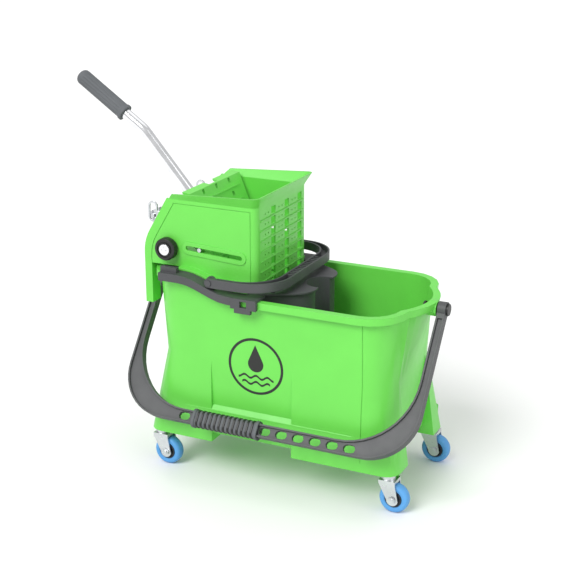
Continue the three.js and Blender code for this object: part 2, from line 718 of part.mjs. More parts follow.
function bailGrip() {
  const low = BAIL_PIVOT_Z - BAIL_REACH;
  const x0 = GRIP_OFFSET - GRIP_LENGTH / 2;
  const x1 = GRIP_OFFSET + GRIP_LENGTH / 2;
  const halfY = BAIL_THICKNESS / 2 + GAP;
  const z0 = low - GAP;
  const z1 = low + BAIL_BAR + GAP;
  const section = (out, radius) => {
    const outline = roundedOutline(-halfY - out, halfY + out, z0 - out, z1 + out, radius, 1);
    return shapeOf(outline);
  };
  const along = (shape, from, to) => {
    const geometry = new THREE.ExtrudeGeometry(shape, { depth: to - from, bevelEnabled: false });
    const basis = new THREE.Matrix4().makeBasis(
      new THREE.Vector3(0, 1, 0),
      new THREE.Vector3(0, 0, 1),
      new THREE.Vector3(1, 0, 0),
    );
    geometry.applyMatrix4(basis);
    geometry.translate(from, 0, 0);
    return solid(geometry);
  };
  let grip = along(section(GRIP_WALL - 1.5, 8), x0, x1);
  const pitch = GRIP_LENGTH / GRIP_RIBS;
  for (let i = 0; i < GRIP_RIBS; i += 1) {
    const middle = x0 + pitch * (i + 0.5);
    const out = i === 0 || i === GRIP_RIBS - 1 ? GRIP_WALL + 1 : GRIP_WALL;
    const width = pitch * 0.55;
    grip = grip.add(along(section(out, 9), middle - width / 2, middle + width / 2));
  }
  return hang(grip.subtract(along(section(0, 0.5), x0 - 5, x1 + 5)));
}

part('bail_frame', bailFrame(), 'bailGrey');
part('bail_grip', bailGrip(), 'gripGrey');

for (const [endName, end] of ENDS) {
  const headLow = BAIL_PIVOT_Z - BAIL_PIN_HEAD_RADIUS;
  const wallInside = BUCKET_HALF_LENGTH - END_TAPER * (RIM_Z - headLow) + bulgeAt(headLow) - WALL;
  const sag = (SPOUT_OUT * BAIL_PIN_HEAD_RADIUS ** 2) / (BUCKET_HALF_WIDTH - BUCKET_CORNER) ** 2;
  const inside = wallInside - sag - BAIL_PIN_HEAD - GAP - 0.3;
  const outside = BAIL_OUTER_X + GAP;
  const at = (x) => [end * x, 0, BAIL_PIVOT_Z];
  const shank = rod(BAIL_PIN_RADIUS, at(inside), at(outside + 1));
  const innerHead = rod(BAIL_PIN_HEAD_RADIUS, at(inside), at(inside + BAIL_PIN_HEAD));
  const outerHead = rod(BAIL_PIN_HEAD_RADIUS, at(outside), at(outside + BAIL_PIN_HEAD));
  part(`bail_pin_${endName}`, join(shank, innerHead, outerHead), 'black');
}

// ---------------------------------------------------------------- inner bucket

// Plan outline of the inner bucket's wall, widened by a distance.
function innerOutline(out) {
  const halfY = INNER_HALF_WIDTH + out;
  const rear = INNER_REAR_X - out;
  const lobe = LOBE_RADIUS + out;
  const corner = INNER_CORNER + out;
  const points = [];
  const arc = (cx, cy, radius, from, to, steps) => {
    for (let i = 0; i <= steps; i += 1) {
      const angle = degrees(from + ((to - from) * i) / steps);
      points.push([cx + radius * Math.cos(angle), cy + radius * Math.sin(angle)]);
    }
  };
  // The slanting front wall is tangent to the lobe and to the shoulder of the side wall.
  const shoulderRadius = 40 + out;
  const shoulderY = INNER_HALF_WIDTH - 40;
  const slope = Math.atan2(LOBE_X - INNER_SIDE_FRONT_X, shoulderY - LOBE_Y);
  const spread = (LOBE_RADIUS - 40) / Math.hypot(LOBE_X - INNER_SIDE_FRONT_X, shoulderY - LOBE_Y);
  const normal = (slope * 180) / Math.PI + (Math.asin(spread) * 180) / Math.PI;
  arc(rear + corner, -halfY + corner, corner, 180, 270, 4);
  arc(INNER_SIDE_FRONT_X, -shoulderY, shoulderRadius, 270, 360 - normal, 4);
  arc(LOBE_X, -LOBE_Y, lobe, 360 - normal, 360 + 70, 7);
  arc(LOBE_X, LOBE_Y, lobe, -70, normal, 7);
  arc(INNER_SIDE_FRONT_X, shoulderY, shoulderRadius, normal, 90, 4);
  arc(rear + corner, halfY - corner, corner, 90, 180, 4);
  return points;
}

function recess(out, z0, z1) {
  return planPrism(circleShape(RECESS_X, 0, RECESS_RADIUS - out, 20), z0, z1);
}

const INNER_TOP_Z = RIM_Z + STRAP_TOP + GAP;
const SMALL_PIVOT_Z = rimZ(SMALL_PIVOT_X) + STRAP_TOP + SMALL_LIFT;

function innerBucket() {
  const high = TOP_Z;
  let body = planPrism(shapeOf(innerOutline(0)), INNER_BOTTOM_Z, high);
  body = body.subtract(recess(0, INNER_BOTTOM_Z - 1, high + 1));
  const inside = planPrism(shapeOf(innerOutline(-INNER_WALL)), INNER_BOTTOM_Z + INNER_WALL, high + 1);
  const innerPlan = shapeOf(innerOutline(-INNER_WALL));
  const deckInside = planPrism(innerPlan, INNER_BOTTOM_Z + INNER_WALL, INNER_TOP_Z - 4);
  const notDeck = box(-500, DECK_START_X, -300, 300, 0, high + 5);
  let cavity = join(inside.intersect(notDeck), deckInside).subtract(recess(-INNER_WALL, 0, high + 5));
  body = body.subtract(cavity);

  // Rim plate over the outer bucket's lip, and the straps that hang down outside the lip.
  const lipY = BUCKET_HALF_WIDTH + LIP_OUT;
  const strapInner = lipY + 1;
  const strapOuter = strapInner + STRAP_THICKNESS;
  const topSlab = rimSlab(STRAP_START_X, STRAP_END_X, GAP, GAP + STRAP_TOP);
  const hangSlab = rimSlab(STRAP_START_X, STRAP_END_X, -STRAP_DROP, GAP + STRAP_TOP);
  body = body.intersect(sidePrism(rimSlab(-400, 400, -400, GAP + STRAP_TOP), -300, 300));
  for (const [, side] of SIDES) {
    const span = (a, b) => [Math.min(side * a, side * b), Math.max(side * a, side * b)];
    body = body.add(sidePrism(topSlab, ...span(INNER_HALF_WIDTH - 1, strapOuter)));
    body = body.add(sidePrism(hangSlab, ...span(strapInner, strapOuter)));
    const blockTop = rimZ(STRAP_START_X) + STRAP_TOP + END_BLOCK_HEIGHT;
    const blockEnd = STRAP_START_X + END_BLOCK_LENGTH;
    const low = rimZ(STRAP_START_X) + 1;
    const block = box(STRAP_START_X, blockEnd, ...span(strapInner - 12, strapInner - 3), low, blockTop);
    body = body.add(block);
    const clipLow = RIM_Z - CLIP_DROP;
    const clipOuter = strapOuter + 1.5;
    const halfClip = CLIP_LENGTH / 2;
    const across = span(strapInner, clipOuter);
    const through = span(strapInner - 0.5, clipOuter + 1);
    const clip = box(CLIP_X - halfClip, CLIP_X + halfClip, ...across, clipLow + 7, INNER_TOP_Z);
    const tab = box(CLIP_X - halfClip + 7, CLIP_X + halfClip - 10, ...across, clipLow, clipLow + 8);
    const window = box(CLIP_X - 6, CLIP_X + 6, ...through, RIM_Z - 10, RIM_Z + 0.5);
    body = join(body, clip, tab).subtract(window);
  }
  // Level rim strip that runs from the straps round the lobes.
  const collar = planPrism(shapeOf(innerOutline(5)), INNER_TOP_Z - 3, INNER_TOP_Z);
  const collarFront = box(STRAP_END_X - 30, 400, -300, 300, 0, 600);
  const collarHole = planPrism(shapeOf(innerOutline(-INNER_WALL)), 0, 600).intersect(notDeck);
  body = body.add(collar.intersect(collarFront).subtract(join(collarHole, recess(0, 0, 600))));

  for (const [, side] of SIDES) {
    const inner = SMALL_HALF_WIDTH - SMALL_ARM - GAP - 5;
    const outer = SMALL_HALF_WIDTH - SMALL_ARM - GAP;
    const [a, b] = [Math.min(side * inner, side * outer), Math.max(side * inner, side * outer)];
    const ear = join(
      sidePrism(circleShape(SMALL_PIVOT_X, SMALL_PIVOT_Z, 9, 20), a, b),
      box(SMALL_PIVOT_X - 9, SMALL_PIVOT_X + 9, a, b, rimZ(SMALL_PIVOT_X - 9) + GAP + 1, SMALL_PIVOT_Z),
    );
    body = body.add(ear);
  }
  return body.subtract(crossBore(SMALL_PIN_RADIUS, SMALL_PIVOT_X, SMALL_PIVOT_Z));
}

part('inner_bucket', innerBucket(), 'darkGrey');

// Small bail: a flat bow that lies level over the front of the inner bucket.
function smallBailOutline(sideInset, frontInset, rear) {
  const half = SMALL_HALF_WIDTH - sideInset;
  const front = SMALL_PIVOT_X + SMALL_REACH - frontInset;
  const corner = SMALL_CORNER - sideInset;
  const shape = new THREE.Shape();
  shape.moveTo(rear, -half);
  shape.lineTo(front - corner, -half);
  shape.absarc(front - corner, -half + corner, corner, -Math.PI / 2, 0, false);
  shape.lineTo(front, half - corner);
  shape.absarc(front - corner, half - corner, corner, 0, Math.PI / 2, false);
  shape.lineTo(rear, half);
  return shape;
}

function smallBail() {
  const z0 = SMALL_PIVOT_Z - SMALL_HEIGHT / 2;
  const z1 = SMALL_PIVOT_Z + SMALL_HEIGHT / 2;
  const bow = planPrism(smallBailOutline(0, 0, SMALL_PIVOT_X), z0, z1, 7);
  const opening = smallBailOutline(SMALL_ARM, SMALL_FRONT, SMALL_PIVOT_X - 40);
  let bail = bow.subtract(planPrism(opening, z0 - 1, z1 + 1, 7));
  // Channel in the top of the bow, from just ahead of one pivot round to the other.
  const channelRear = SMALL_PIVOT_X + SMALL_HEIGHT;
  const channelOuter = smallBailOutline(SMALL_EDGE, SMALL_EDGE, channelRear);
  const channelInner = smallBailOutline(SMALL_ARM - SMALL_EDGE, SMALL_FRONT - SMALL_EDGE, channelRear - 5);
  const channelLow = z1 - SMALL_CHANNEL_DEPTH;
  const channel = planPrism(channelOuter, channelLow, z1 + 1, 7);
  bail = bail.subtract(channel.subtract(planPrism(channelInner, channelLow - 1, z1 + 2, 7)));
  const frontX = SMALL_PIVOT_X + SMALL_REACH;
  for (let i = 0; i < SMALL_RIBS; i += 1) {
    const y = (i - (SMALL_RIBS - 1) / 2) * SMALL_RIB_PITCH;
    const [a, b] = [y - SMALL_RIB_WIDTH / 2, y + SMALL_RIB_WIDTH / 2];
    bail = bail.add(box(frontX - SMALL_FRONT + 1, frontX - 1, a, b, channelLow - 1, z1 - 1));
  }
  for (const [, side] of SIDES) {
    const a = Math.min(side * SMALL_HALF_WIDTH, side * (SMALL_HALF_WIDTH - SMALL_ARM));
    const eye = circleShape(SMALL_PIVOT_X, SMALL_PIVOT_Z, SMALL_HEIGHT / 2, 20);
    bail = bail.add(sidePrism(eye, a, a + SMALL_ARM));
  }
  return bail.subtract(crossBore(SMALL_PIN_RADIUS, SMALL_PIVOT_X, SMALL_PIVOT_Z));
}

part('inner_bail', smallBail(), 'darkGrey');

for (const [sideName, side] of SIDES) {
  const inner = SMALL_HALF_WIDTH - SMALL_ARM - 2 * GAP - 5;
  const outer = SMALL_HALF_WIDTH + GAP;
  const at = (y) => [SMALL_PIVOT_X, side * y, SMALL_PIVOT_Z];
  const rivet = join(
    rod(SMALL_PIN_RADIUS, at(inner - 2), at(outer + 1), 16),
    rod(SMALL_PIN_RADIUS + 2.5, at(inner - 2), at(inner), 16),
    rod(SMALL_PIN_RADIUS + 2, at(outer), at(outer + 1.5), 16),
  );
  part(`inner_bail_rivet_${sideName}`, rivet, 'darkGrey');
}

// ---------------------------------------------------------------- wringer

const WRINGER_IN_Y = WRINGER_HALF_WIDTH - WRINGER_WALL;
// Rear face of the part that stands inside the inner bucket.
const WRINGER_INNER_X = INNER_REAR_X + INNER_WALL + WRINGER_FIT;
const LEG_OUTER_X = BUCKET_HALF_LENGTH + LIP_OUT + 1.5; // inner face of the legs, outside the lip
const CRANK_END_ANGLE = CRANK_ANGLE - LEVER_SWING;
const GUIDE_TRAVEL = CRANK_RADIUS * (Math.cos(degrees(CRANK_END_ANGLE)) - Math.cos(degrees(CRANK_ANGLE)));
const guideAt = (travel) => [GUIDE_START_X + travel, GUIDE_START_Z + GUIDE_SLOPE * travel];

// The rear edge of the wringer's side: upright, a soft shoulder, then slanting forward up to a height.
function rearEdge(inset, low, high) {
  const x = WRINGER_BACK_X + inset;
  const shoulderZ = WRINGER_SHOULDER_Z - inset * 0.5;
  const bend = new THREE.QuadraticBezierCurve(
    new THREE.Vector2(x, shoulderZ - 20),
    new THREE.Vector2(x, shoulderZ),
    new THREE.Vector2(x + 11, shoulderZ + 11 * WRINGER_SLANT),
  );
  const points = bend.getPoints(5).map((p) => [p.x, p.y]);
  return [[x, low], ...points, [x + (high - shoulderZ) / WRINGER_SLANT, high]];
}

// Side view of the wringer body up to the fold of its flared rim.
function wringerProfile() {
  const top = WRINGER_FOLD_Z + 0.5;
  return shapeOf([
    [WRINGER_INNER_X, LEG_BOTTOM_Z],
    [WRINGER_INNER_X, WRINGER_FLOOR_Z],
    [WRINGER_FRONT_X, WRINGER_FLOOR_Z],
    [WRINGER_FRONT_X, top],
    ...rearEdge(0, LEG_BOTTOM_Z, top).reverse(),
  ]);
}

// Side view of the panel that the wringer's raised border frames.
function panelProfile(inset) {
  const top = WRINGER_FOLD_Z - inset * 0.5;
  const low = LEG_BOTTOM_Z - inset;
  const front = WRINGER_FRONT_X - inset + 3;
  return shapeOf([[front, low], [front, top], ...rearEdge(inset, low, top).reverse()]);
}

// The flared rim. With an inset it is the hollow inside the rim, which starts and ends a little beyond.
function flareSolid(inset) {
  const rearX = WRINGER_TOP_BACK_X - 60;
  const grow = WRINGER_FLARE / (WRINGER_TOP_Z - WRINGER_FOLD_Z);
  const level = (z) => {
    const out = grow * (z - WRINGER_FOLD_Z);
    const half = WRINGER_HALF_WIDTH + out - inset;
    const front = WRINGER_FRONT_X + out * 0.7 - inset;
    return { outline: roundedOutline(rearX, front, -half, half, WRINGER_CORNER - inset / 2, 5), z };
  };
  const beyond = inset > 0 ? 1 : 0;
  return loft([level(WRINGER_FOLD_Z - beyond), level(WRINGER_TOP_Z + beyond)]);
}

// The sieve in the front wall: raised ribs, drain slots between them and small round holes.
function withSieve(body) {
  const ribs = [];
  const cuts = [];
  const faceX = WRINGER_FRONT_X;
  const behind = faceX - WRINGER_WALL - 3;
  const slotHeight = SIEVE_PITCH_Z - SIEVE_RIB_HEIGHT - 2 * SIEVE_EDGE;
  for (let row = 0; row < SIEVE_ROWS; row += 1) {
    const ribZ = SIEVE_RIB_LOW_Z + (row - 1) * SIEVE_PITCH_Z;
    const slotZ = ribZ + SIEVE_RIB_HEIGHT + SIEVE_EDGE;
    const half = SIEVE_HALF_WIDTH;
    if (row > 0) ribs.push(box(faceX - 1, faceX + SIEVE_RIB_OUT, -half, half, ribZ, ribZ + SIEVE_RIB_HEIGHT));
    for (let column = 0; column < SIEVE_COLUMNS; column += 1) {
      const y = SIEVE_SLOT_START_Y + column * SIEVE_PITCH_Y;
      cuts.push(box(behind, faceX + 3, y, y + SIEVE_SLOT_WIDTH, slotZ, slotZ + slotHeight));
      for (const place of SIEVE_HOLE_PLACES) {
        const z = slotZ + slotHeight / 2;
        cuts.push(rod(SIEVE_HOLE_RADIUS, [behind, y - place, z], [faceX + 3, y - place, z], 8));
      }
    }
  }
  return join(body, ...ribs).subtract(join(...cuts));
}

function wringerBody() {
  const shell = sidePrism(wringerProfile(), -WRINGER_HALF_WIDTH, WRINGER_HALF_WIDTH);
  const width = WRINGER_HALF_WIDTH;
  const plan = roundedOutline(-BEYOND, WRINGER_FRONT_X, -width, width, WRINGER_CORNER, 5);
  let body = shell.intersect(planPrism(shapeOf(plan), 0, 600));
  body = body.add(flareSolid(0).intersect(box(FLARE_START_X, 0, -BEYOND, BEYOND, 0, 600)));

  // Hollow: open at the top and at the back.
  const hollowPlan = roundedOutline(
    -400,
    WRINGER_FRONT_X - WRINGER_WALL,
    -WRINGER_IN_Y,
    WRINGER_IN_Y,
    WRINGER_CORNER - WRINGER_WALL,
    5,
  );
  const hollow = planPrism(shapeOf(hollowPlan), WRINGER_FLOOR_Z + WRINGER_WALL, 600);
  body = body.subtract(hollow).subtract(flareSolid(WRINGER_WALL));

  // The rim's top falls towards the back and ends in a chamfer.
  const rearTop = WRINGER_TOP_Z - WRINGER_TOP_FALL;
  const above = shapeOf([
    [-BEYOND, 600],
    [-BEYOND, rearTop - FLARE_CHAMFER],
    [FLARE_START_X, rearTop - FLARE_CHAMFER],
    [FLARE_START_X + FLARE_CHAMFER, rearTop],
    [WRINGER_FRONT_X + WRINGER_FLARE, WRINGER_TOP_Z],
    [WRINGER_FRONT_X + WRINGER_FLARE, 600],
  ]);
  body = body.subtract(sidePrism(above, -BEYOND, BEYOND));

  // Groove between the side panels and their raised border.
  const groove = sidePrism(panelProfile(PANEL_INSET), -BEYOND, BEYOND)
    .subtract(sidePrism(panelProfile(PANEL_INSET + PANEL_GROOVE), -BEYOND, BEYOND))
    .subtract(box(-BEYOND, BEYOND, PANEL_GROOVE_DEPTH - width, width - PANEL_GROOVE_DEPTH, 0, 600));
  body = body.subtract(groove);

  // Rear apron between the two side walls, and the legs below it.
  const apronLow = rimZ(WRINGER_BACK_X) + STRAP_TOP + 2 * GAP + 1;
  const reach = WRINGER_IN_Y + 1;
  const apronBackX = WRINGER_BACK_X + WRINGER_WALL;
  const apron = box(WRINGER_BACK_X, apronBackX, -reach, reach, apronLow, apronLow + APRON_HEIGHT);
  const shelfEnd = WRINGER_INNER_X + 4;
  const shelf = box(WRINGER_BACK_X, shelfEnd, -reach, reach, apronLow, apronLow + WRINGER_WALL);
  body = join(body, apron, shelf);
  for (const [, side] of SIDES) {
    const a = Math.min(side * LEG_INNER_Y, side * WRINGER_HALF_WIDTH);
    const b = a + WRINGER_HALF_WIDTH - LEG_INNER_Y;
    const leg = box(WRINGER_BACK_X, -LEG_OUTER_X, a, b, LEG_BOTTOM_Z, apronLow + 5);
    body = body.add(leg);
  }

  // Room for the buckets' rims between the legs and the part inside the inner bucket.
  const insideInner = planPrism(shapeOf(innerOutline(-INNER_WALL - WRINGER_FIT)), 0, 600);
  const rimRoom = box(-LEG_OUTER_X, WRINGER_FRONT_X + 1, -300, 300, 0, apronLow).subtract(insideInner);
  const bailRoom = box(WRINGER_BACK_X - 1, WRINGER_INNER_X, -LEG_INNER_Y, LEG_INNER_Y, 0, apronLow);
  body = body.subtract(rimRoom).subtract(bailRoom);

  // Ledges that rest on the inner bucket's rim plate.
  const ledgeLow = STRAP_TOP + 2 * GAP;
  const ledgeEnd = WRINGER_FRONT_X - 10;
  const ledgeShape = rimSlab(LEDGE_START_X, ledgeEnd, ledgeLow, ledgeLow + WRINGER_WALL);
  for (const [, side] of SIDES) {
    const a = Math.min(side * (WRINGER_HALF_WIDTH - 1), side * (INNER_HALF_WIDTH + 7));
    const b = Math.max(side * (WRINGER_HALF_WIDTH - 1), side * (INNER_HALF_WIDTH + 7));
    body = body.add(sidePrism(ledgeShape, a, b));
  }

  // Drain slots in the floor.
  for (let i = 0; i < DRAIN_COUNT; i += 1) {
    const y = (i - (DRAIN_COUNT - 1) / 2) * DRAIN_PITCH;
    const drain = slotShape(DRAIN_START_X, y, DRAIN_END_X, y, DRAIN_RADIUS, 6);
    body = body.subtract(planPrism(drain, WRINGER_FLOOR_Z - 1, WRINGER_FLOOR_Z + WRINGER_WALL + 1));
  }

  body = withSieve(body);

  // Guide slots with raised borders, and the lever pivot bosses.
  const [slotX0, slotZ0] = guideAt(-GUIDE_OVERRUN);
  const [slotX1, slotZ1] = guideAt(GUIDE_TRAVEL + GUIDE_OVERRUN);
  const slotRadius = GUIDE_PIN_RADIUS + RUNNING;
  const border = slotShape(slotX0, slotZ0, slotX1, slotZ1, slotRadius + 7);
  const slot = slotShape(slotX0, slotZ0, slotX1, slotZ1, slotRadius);
  for (const [, side] of SIDES) {
    const span = (p, q) => [Math.min(side * p, side * q), Math.max(side * p, side * q)];
    body = body.add(sidePrism(border, ...span(WRINGER_HALF_WIDTH - 1, WRINGER_HALF_WIDTH + 1.5)));
    const boss = circleShape(PIVOT_X, PIVOT_Z, SHAFT_RADIUS + 9);
    body = body.add(sidePrism(boss, ...span(WRINGER_IN_Y - 2, WRINGER_HALF_WIDTH + 1.5)));
  }
  body = body.subtract(sidePrism(slot, -200, 200));
  return body.subtract(crossBore(SHAFT_RADIUS, PIVOT_X, PIVOT_Z));
}

part('wringer_body', wringerBody(), 'green');

// ---------------------------------------------------------------- press plate

// Press plate axes: "up" runs along the leaning plate, "ahead" is its pressing side.
const TILT = degrees(PLATE_TILT);
const onPlate = (up, ahead) => [
  GUIDE_START_X - Math.sin(TILT) * up + Math.cos(TILT) * ahead,
  GUIDE_START_Z + Math.cos(TILT) * up + Math.sin(TILT) * ahead,
];

function pressPlate() {
  const back = PLATE_STANDOFF;
  const face = back + PLATE_THICKNESS;
  const half = PLATE_HALF_WIDTH;
  const sheet = shapeOf([
    onPlate(-PLATE_BELOW, back),
    onPlate(-PLATE_BELOW, face),
    onPlate(PLATE_ABOVE, face),
    onPlate(PLATE_ABOVE, back),
  ]);
  let plate = sidePrism(sheet, -half, half);
  // Top flange, bent back.
  const flange = shapeOf([
    onPlate(PLATE_ABOVE, face),
    onPlate(PLATE_ABOVE + 7, back - PLATE_FLANGE + 5),
    onPlate(PLATE_ABOVE + 3.5, back - PLATE_FLANGE + 5),
    onPlate(PLATE_ABOVE - 3.5, back),
    onPlate(PLATE_ABOVE - 4, face),
  ]);
  plate = plate.add(sidePrism(flange, -half, half));
  // Level ribs on the pressing side.
  for (let row = 0; row < PLATE_ROWS; row += 1) {
    const up = -PLATE_BELOW + 12 + row * PLATE_PITCH_UP;
    const rib = shapeOf([
      onPlate(up, face - 0.5),
      onPlate(up, face + 2),
      onPlate(up + 2.2, face + 2),
      onPlate(up + 2.2, face - 0.5),
    ]);
    plate = plate.add(sidePrism(rib, -72, 72));
  }
  // Drain slots between the ribs.
  for (let row = 0; row < PLATE_ROWS; row += 1) {
    const up = -PLATE_BELOW + 22 + row * PLATE_PITCH_UP;
    const opening = shapeOf([
      onPlate(up, back - 1),
      onPlate(up, face + 1),
      onPlate(up + PLATE_SLOT_HEIGHT, face + 1),
      onPlate(up + PLATE_SLOT_HEIGHT, back - 1),
    ]);
    for (let column = 0; column < PLATE_COLUMNS; column += 1) {
      const y = (column - (PLATE_COLUMNS - 1) / 2) * PLATE_PITCH;
      plate = plate.subtract(sidePrism(opening, y - PLATE_SLOT_WIDTH / 2, y + PLATE_SLOT_WIDTH / 2));
    }
  }
  // Side ears that hold the guide pins.
  const ear = shapeOf([
    onPlate(-26, back + 1),
    onPlate(-10, -8),
    onPlate(10, -8),
    onPlate(34, back + 1),
  ]);
  for (const [, side] of SIDES) {
    const a = Math.min(side * (half - 4), side * half);
    plate = plate.add(sidePrism(ear, a, a + 4));
  }
  // Notch in the top flange for the lever tube.
  const notchHalf = TUBE_RADIUS + 6;
  const [notchX, notchZ] = onPlate(PLATE_ABOVE - 3, back);
  plate = plate.subtract(box(notchX - 60, notchX, -notchHalf, notchHalf, notchZ - 8, notchZ + 60));
  return plate.subtract(crossBore(GUIDE_PIN_RADIUS, GUIDE_START_X, GUIDE_START_Z, 20));
}

part('press_plate', pressPlate(), 'plateGreen');

// Place of the crank pin with the lever at rest.
const CRANK_X = PIVOT_X + CRANK_RADIUS * Math.cos(degrees(CRANK_ANGLE));
const CRANK_Z = PIVOT_Z + CRANK_RADIUS * Math.sin(degrees(CRANK_ANGLE));
const YOKE_OUTER_Y = PLATE_HALF_WIDTH - 4 - GAP;
const YOKE_INNER_Y = YOKE_OUTER_Y - YOKE_THICKNESS;

// Steel yoke: joins the guide pin to an upright slot in which the crank pin works.
function yoke(side) {
  const slotRadius = CRANK_PIN_RADIUS + YOKE_PLAY;
  const frameRadius = slotRadius + YOKE_WALL;
  // The slot leans with the guide, so that the pin's rise above the guide line stays in it.
  const rise = PIVOT_Z + CRANK_RADIUS - CRANK_Z - GUIDE_SLOPE * GUIDE_TRAVEL * 0.5;
  const head = slotShape(CRANK_X, CRANK_Z - 2, CRANK_X, CRANK_Z + rise + 2, frameRadius);
  const arm = slotShape(CRANK_X, CRANK_Z + 4, GUIDE_START_X, GUIDE_START_Z, YOKE_ARM / 2);
  const slot = slotShape(CRANK_X, CRANK_Z - 2, CRANK_X, CRANK_Z + rise + 2, slotRadius);
  const a = Math.min(side * YOKE_INNER_Y, side * YOKE_OUTER_Y);
  const b = a + YOKE_THICKNESS;
  const body = join(sidePrism(head, a, b), sidePrism(arm, a, b)).subtract(sidePrism(slot, a - 1, b + 1));
  return body.subtract(crossBore(GUIDE_PIN_RADIUS, GUIDE_START_X, GUIDE_START_Z, 20));
}

for (const [sideName, side] of SIDES) {
  part(`press_yoke_${sideName}`, yoke(side), 'steel');
  const at = (y) => [GUIDE_START_X, side * y, GUIDE_START_Z];
  const head = YOKE_INNER_Y - GAP;
  const pin = join(
    rod(GUIDE_PIN_RADIUS, at(head - 2), at(WRINGER_HALF_WIDTH + 1.5), 20),
    rod(GUIDE_PIN_RADIUS + 2.5, at(head - 2), at(head), 20),
  );
  part(`guide_pin_${sideName}`, pin, 'steel');
}

// ---------------------------------------------------------------- lever

// Lever axes at rest: "along" is the tube's direction, "over" points from the pivot to the tube.
const LEAN = degrees(TUBE_ANGLE);
const onLever = (along, over) => [
  PIVOT_X + Math.cos(LEAN) * along + Math.sin(LEAN) * over,
  PIVOT_Z + Math.sin(LEAN) * along - Math.cos(LEAN) * over,
];
const leverPoint = (along, over, y) => {
  const [x, z] = onLever(along, over);
  return new THREE.Vector3(x, y, z);
};
const CRANK_ALONG = CRANK_RADIUS * Math.cos(degrees(CRANK_ANGLE - TUBE_ANGLE));
const CRANK_OVER = -CRANK_RADIUS * Math.sin(degrees(CRANK_ANGLE - TUBE_ANGLE));
const WEB_TOP = TUBE_OFFSET - TUBE_RADIUS - GAP; // face of the web that the tube lies on
const WEB_LOW = WEB_TOP - CHEEK_THICKNESS;
const CHEEK_INNER_Y = CHEEK_HALF_GAP;
const CHEEK_OUTER_Y = CHEEK_HALF_GAP + CHEEK_THICKNESS;
const BOLT_PLACES = [
  ['lower', TUBE_START + 14],
  ['upper', CRANK_RADIUS - 12],
];

function leverBracket() {
  const points = [];
  const arc = (along, over, radius, from, to) => {
    for (let i = 0; i <= 6; i += 1) {
      const angle = degrees(from + ((to - from) * i) / 6);
      points.push(onLever(along + radius * Math.cos(angle), over + radius * Math.sin(angle)));
    }
  };
  arc(0, 0, 14, 180, 270);
  arc(CRANK_ALONG, CRANK_OVER, 9, 270, 360);
  points.push(onLever(CRANK_ALONG + 2, WEB_TOP));
  points.push(onLever(-6, WEB_TOP));
  const cheek = shapeOf(points);
  const webShape = shapeOf([
    onLever(-6, WEB_LOW),
    onLever(CRANK_ALONG + 2, WEB_LOW),
    onLever(CRANK_ALONG + 2, WEB_TOP),
    onLever(-6, WEB_TOP),
  ]);
  let bracket = sidePrism(webShape, -CHEEK_OUTER_Y, CHEEK_OUTER_Y);
  for (const [, side] of SIDES) {
    const a = Math.min(side * CHEEK_INNER_Y, side * CHEEK_OUTER_Y);
    bracket = bracket.add(sidePrism(cheek, a, a + CHEEK_THICKNESS));
  }
  bracket = bracket.subtract(crossBore(SHAFT_RADIUS, PIVOT_X, PIVOT_Z));
  bracket = bracket.subtract(crossBore(CRANK_PIN_RADIUS, CRANK_X, CRANK_Z));
  for (const [, along] of BOLT_PLACES) {
    const from = leverPoint(along, WEB_LOW - 5, 0).toArray();
    const to = leverPoint(along, WEB_TOP + 5, 0).toArray();
    bracket = bracket.subtract(rod(LEVER_BOLT_RADIUS + RUNNING, from, to, 12));
  }
  return bracket;
}

part('lever_bracket', leverBracket(), 'steel');

// Centre line of the lever tube: straight, a bend, straight again up to the hand grip.
function tubeRoute(extra) {
  const start = leverPoint(TUBE_START - extra, TUBE_OFFSET, 0);
  const corner = leverPoint(TUBE_STRAIGHT, TUBE_OFFSET, 0);
  const upper = degrees(TUBE_UPPER_ANGLE);
  const heading = new THREE.Vector3(Math.cos(upper), 0, Math.sin(upper));
  const lower = new THREE.Vector3(Math.cos(LEAN), 0, Math.sin(LEAN));
  const turn = upper - LEAN;
  const trim = TUBE_BEND_RADIUS * Math.tan(turn / 2);
  const end = corner.clone().addScaledVector(heading, TUBE_UPPER + extra);
  const bendStart = corner.clone().addScaledVector(lower, -trim);
  const bendEnd = corner.clone().addScaledVector(heading, trim);
  const points = [start, bendStart];
  const across = new THREE.Vector3(-Math.sin(LEAN), 0, Math.cos(LEAN));
  const centre = bendStart.clone().addScaledVector(across, TUBE_BEND_RADIUS);
  const steps = 3;
  for (let i = 1; i < steps; i += 1) {
    const angle = LEAN - Math.PI / 2 + (turn * i) / steps;
    const outward = new THREE.Vector3(Math.cos(angle), 0, Math.sin(angle));
    points.push(centre.clone().addScaledVector(outward, TUBE_BEND_RADIUS));
  }
  points.push(bendEnd, end);
  return { points, end, heading };
}

function tubeAlong(route, radius, sides) {
  const rings = route.points.map((point, i) => {
    const before = route.points[Math.max(i - 1, 0)];
    const after = route.points[Math.min(i + 1, route.points.length - 1)];
    const tangent = after.clone().sub(before).normalize();
    const side = new THREE.Vector3(0, 1, 0);
    const up = new THREE.Vector3().crossVectors(tangent, side);
    const ringPoints = [];
    for (let k = 0; k < sides; k += 1) {
      const angle = (2 * Math.PI * k) / sides;
      const offset = side.clone().multiplyScalar(radius * Math.cos(angle));
      offset.addScaledVector(up, radius * Math.sin(angle));
      ringPoints.push(point.clone().add(offset));
    }
    return ringPoints;
  });
  return skin(rings);
}

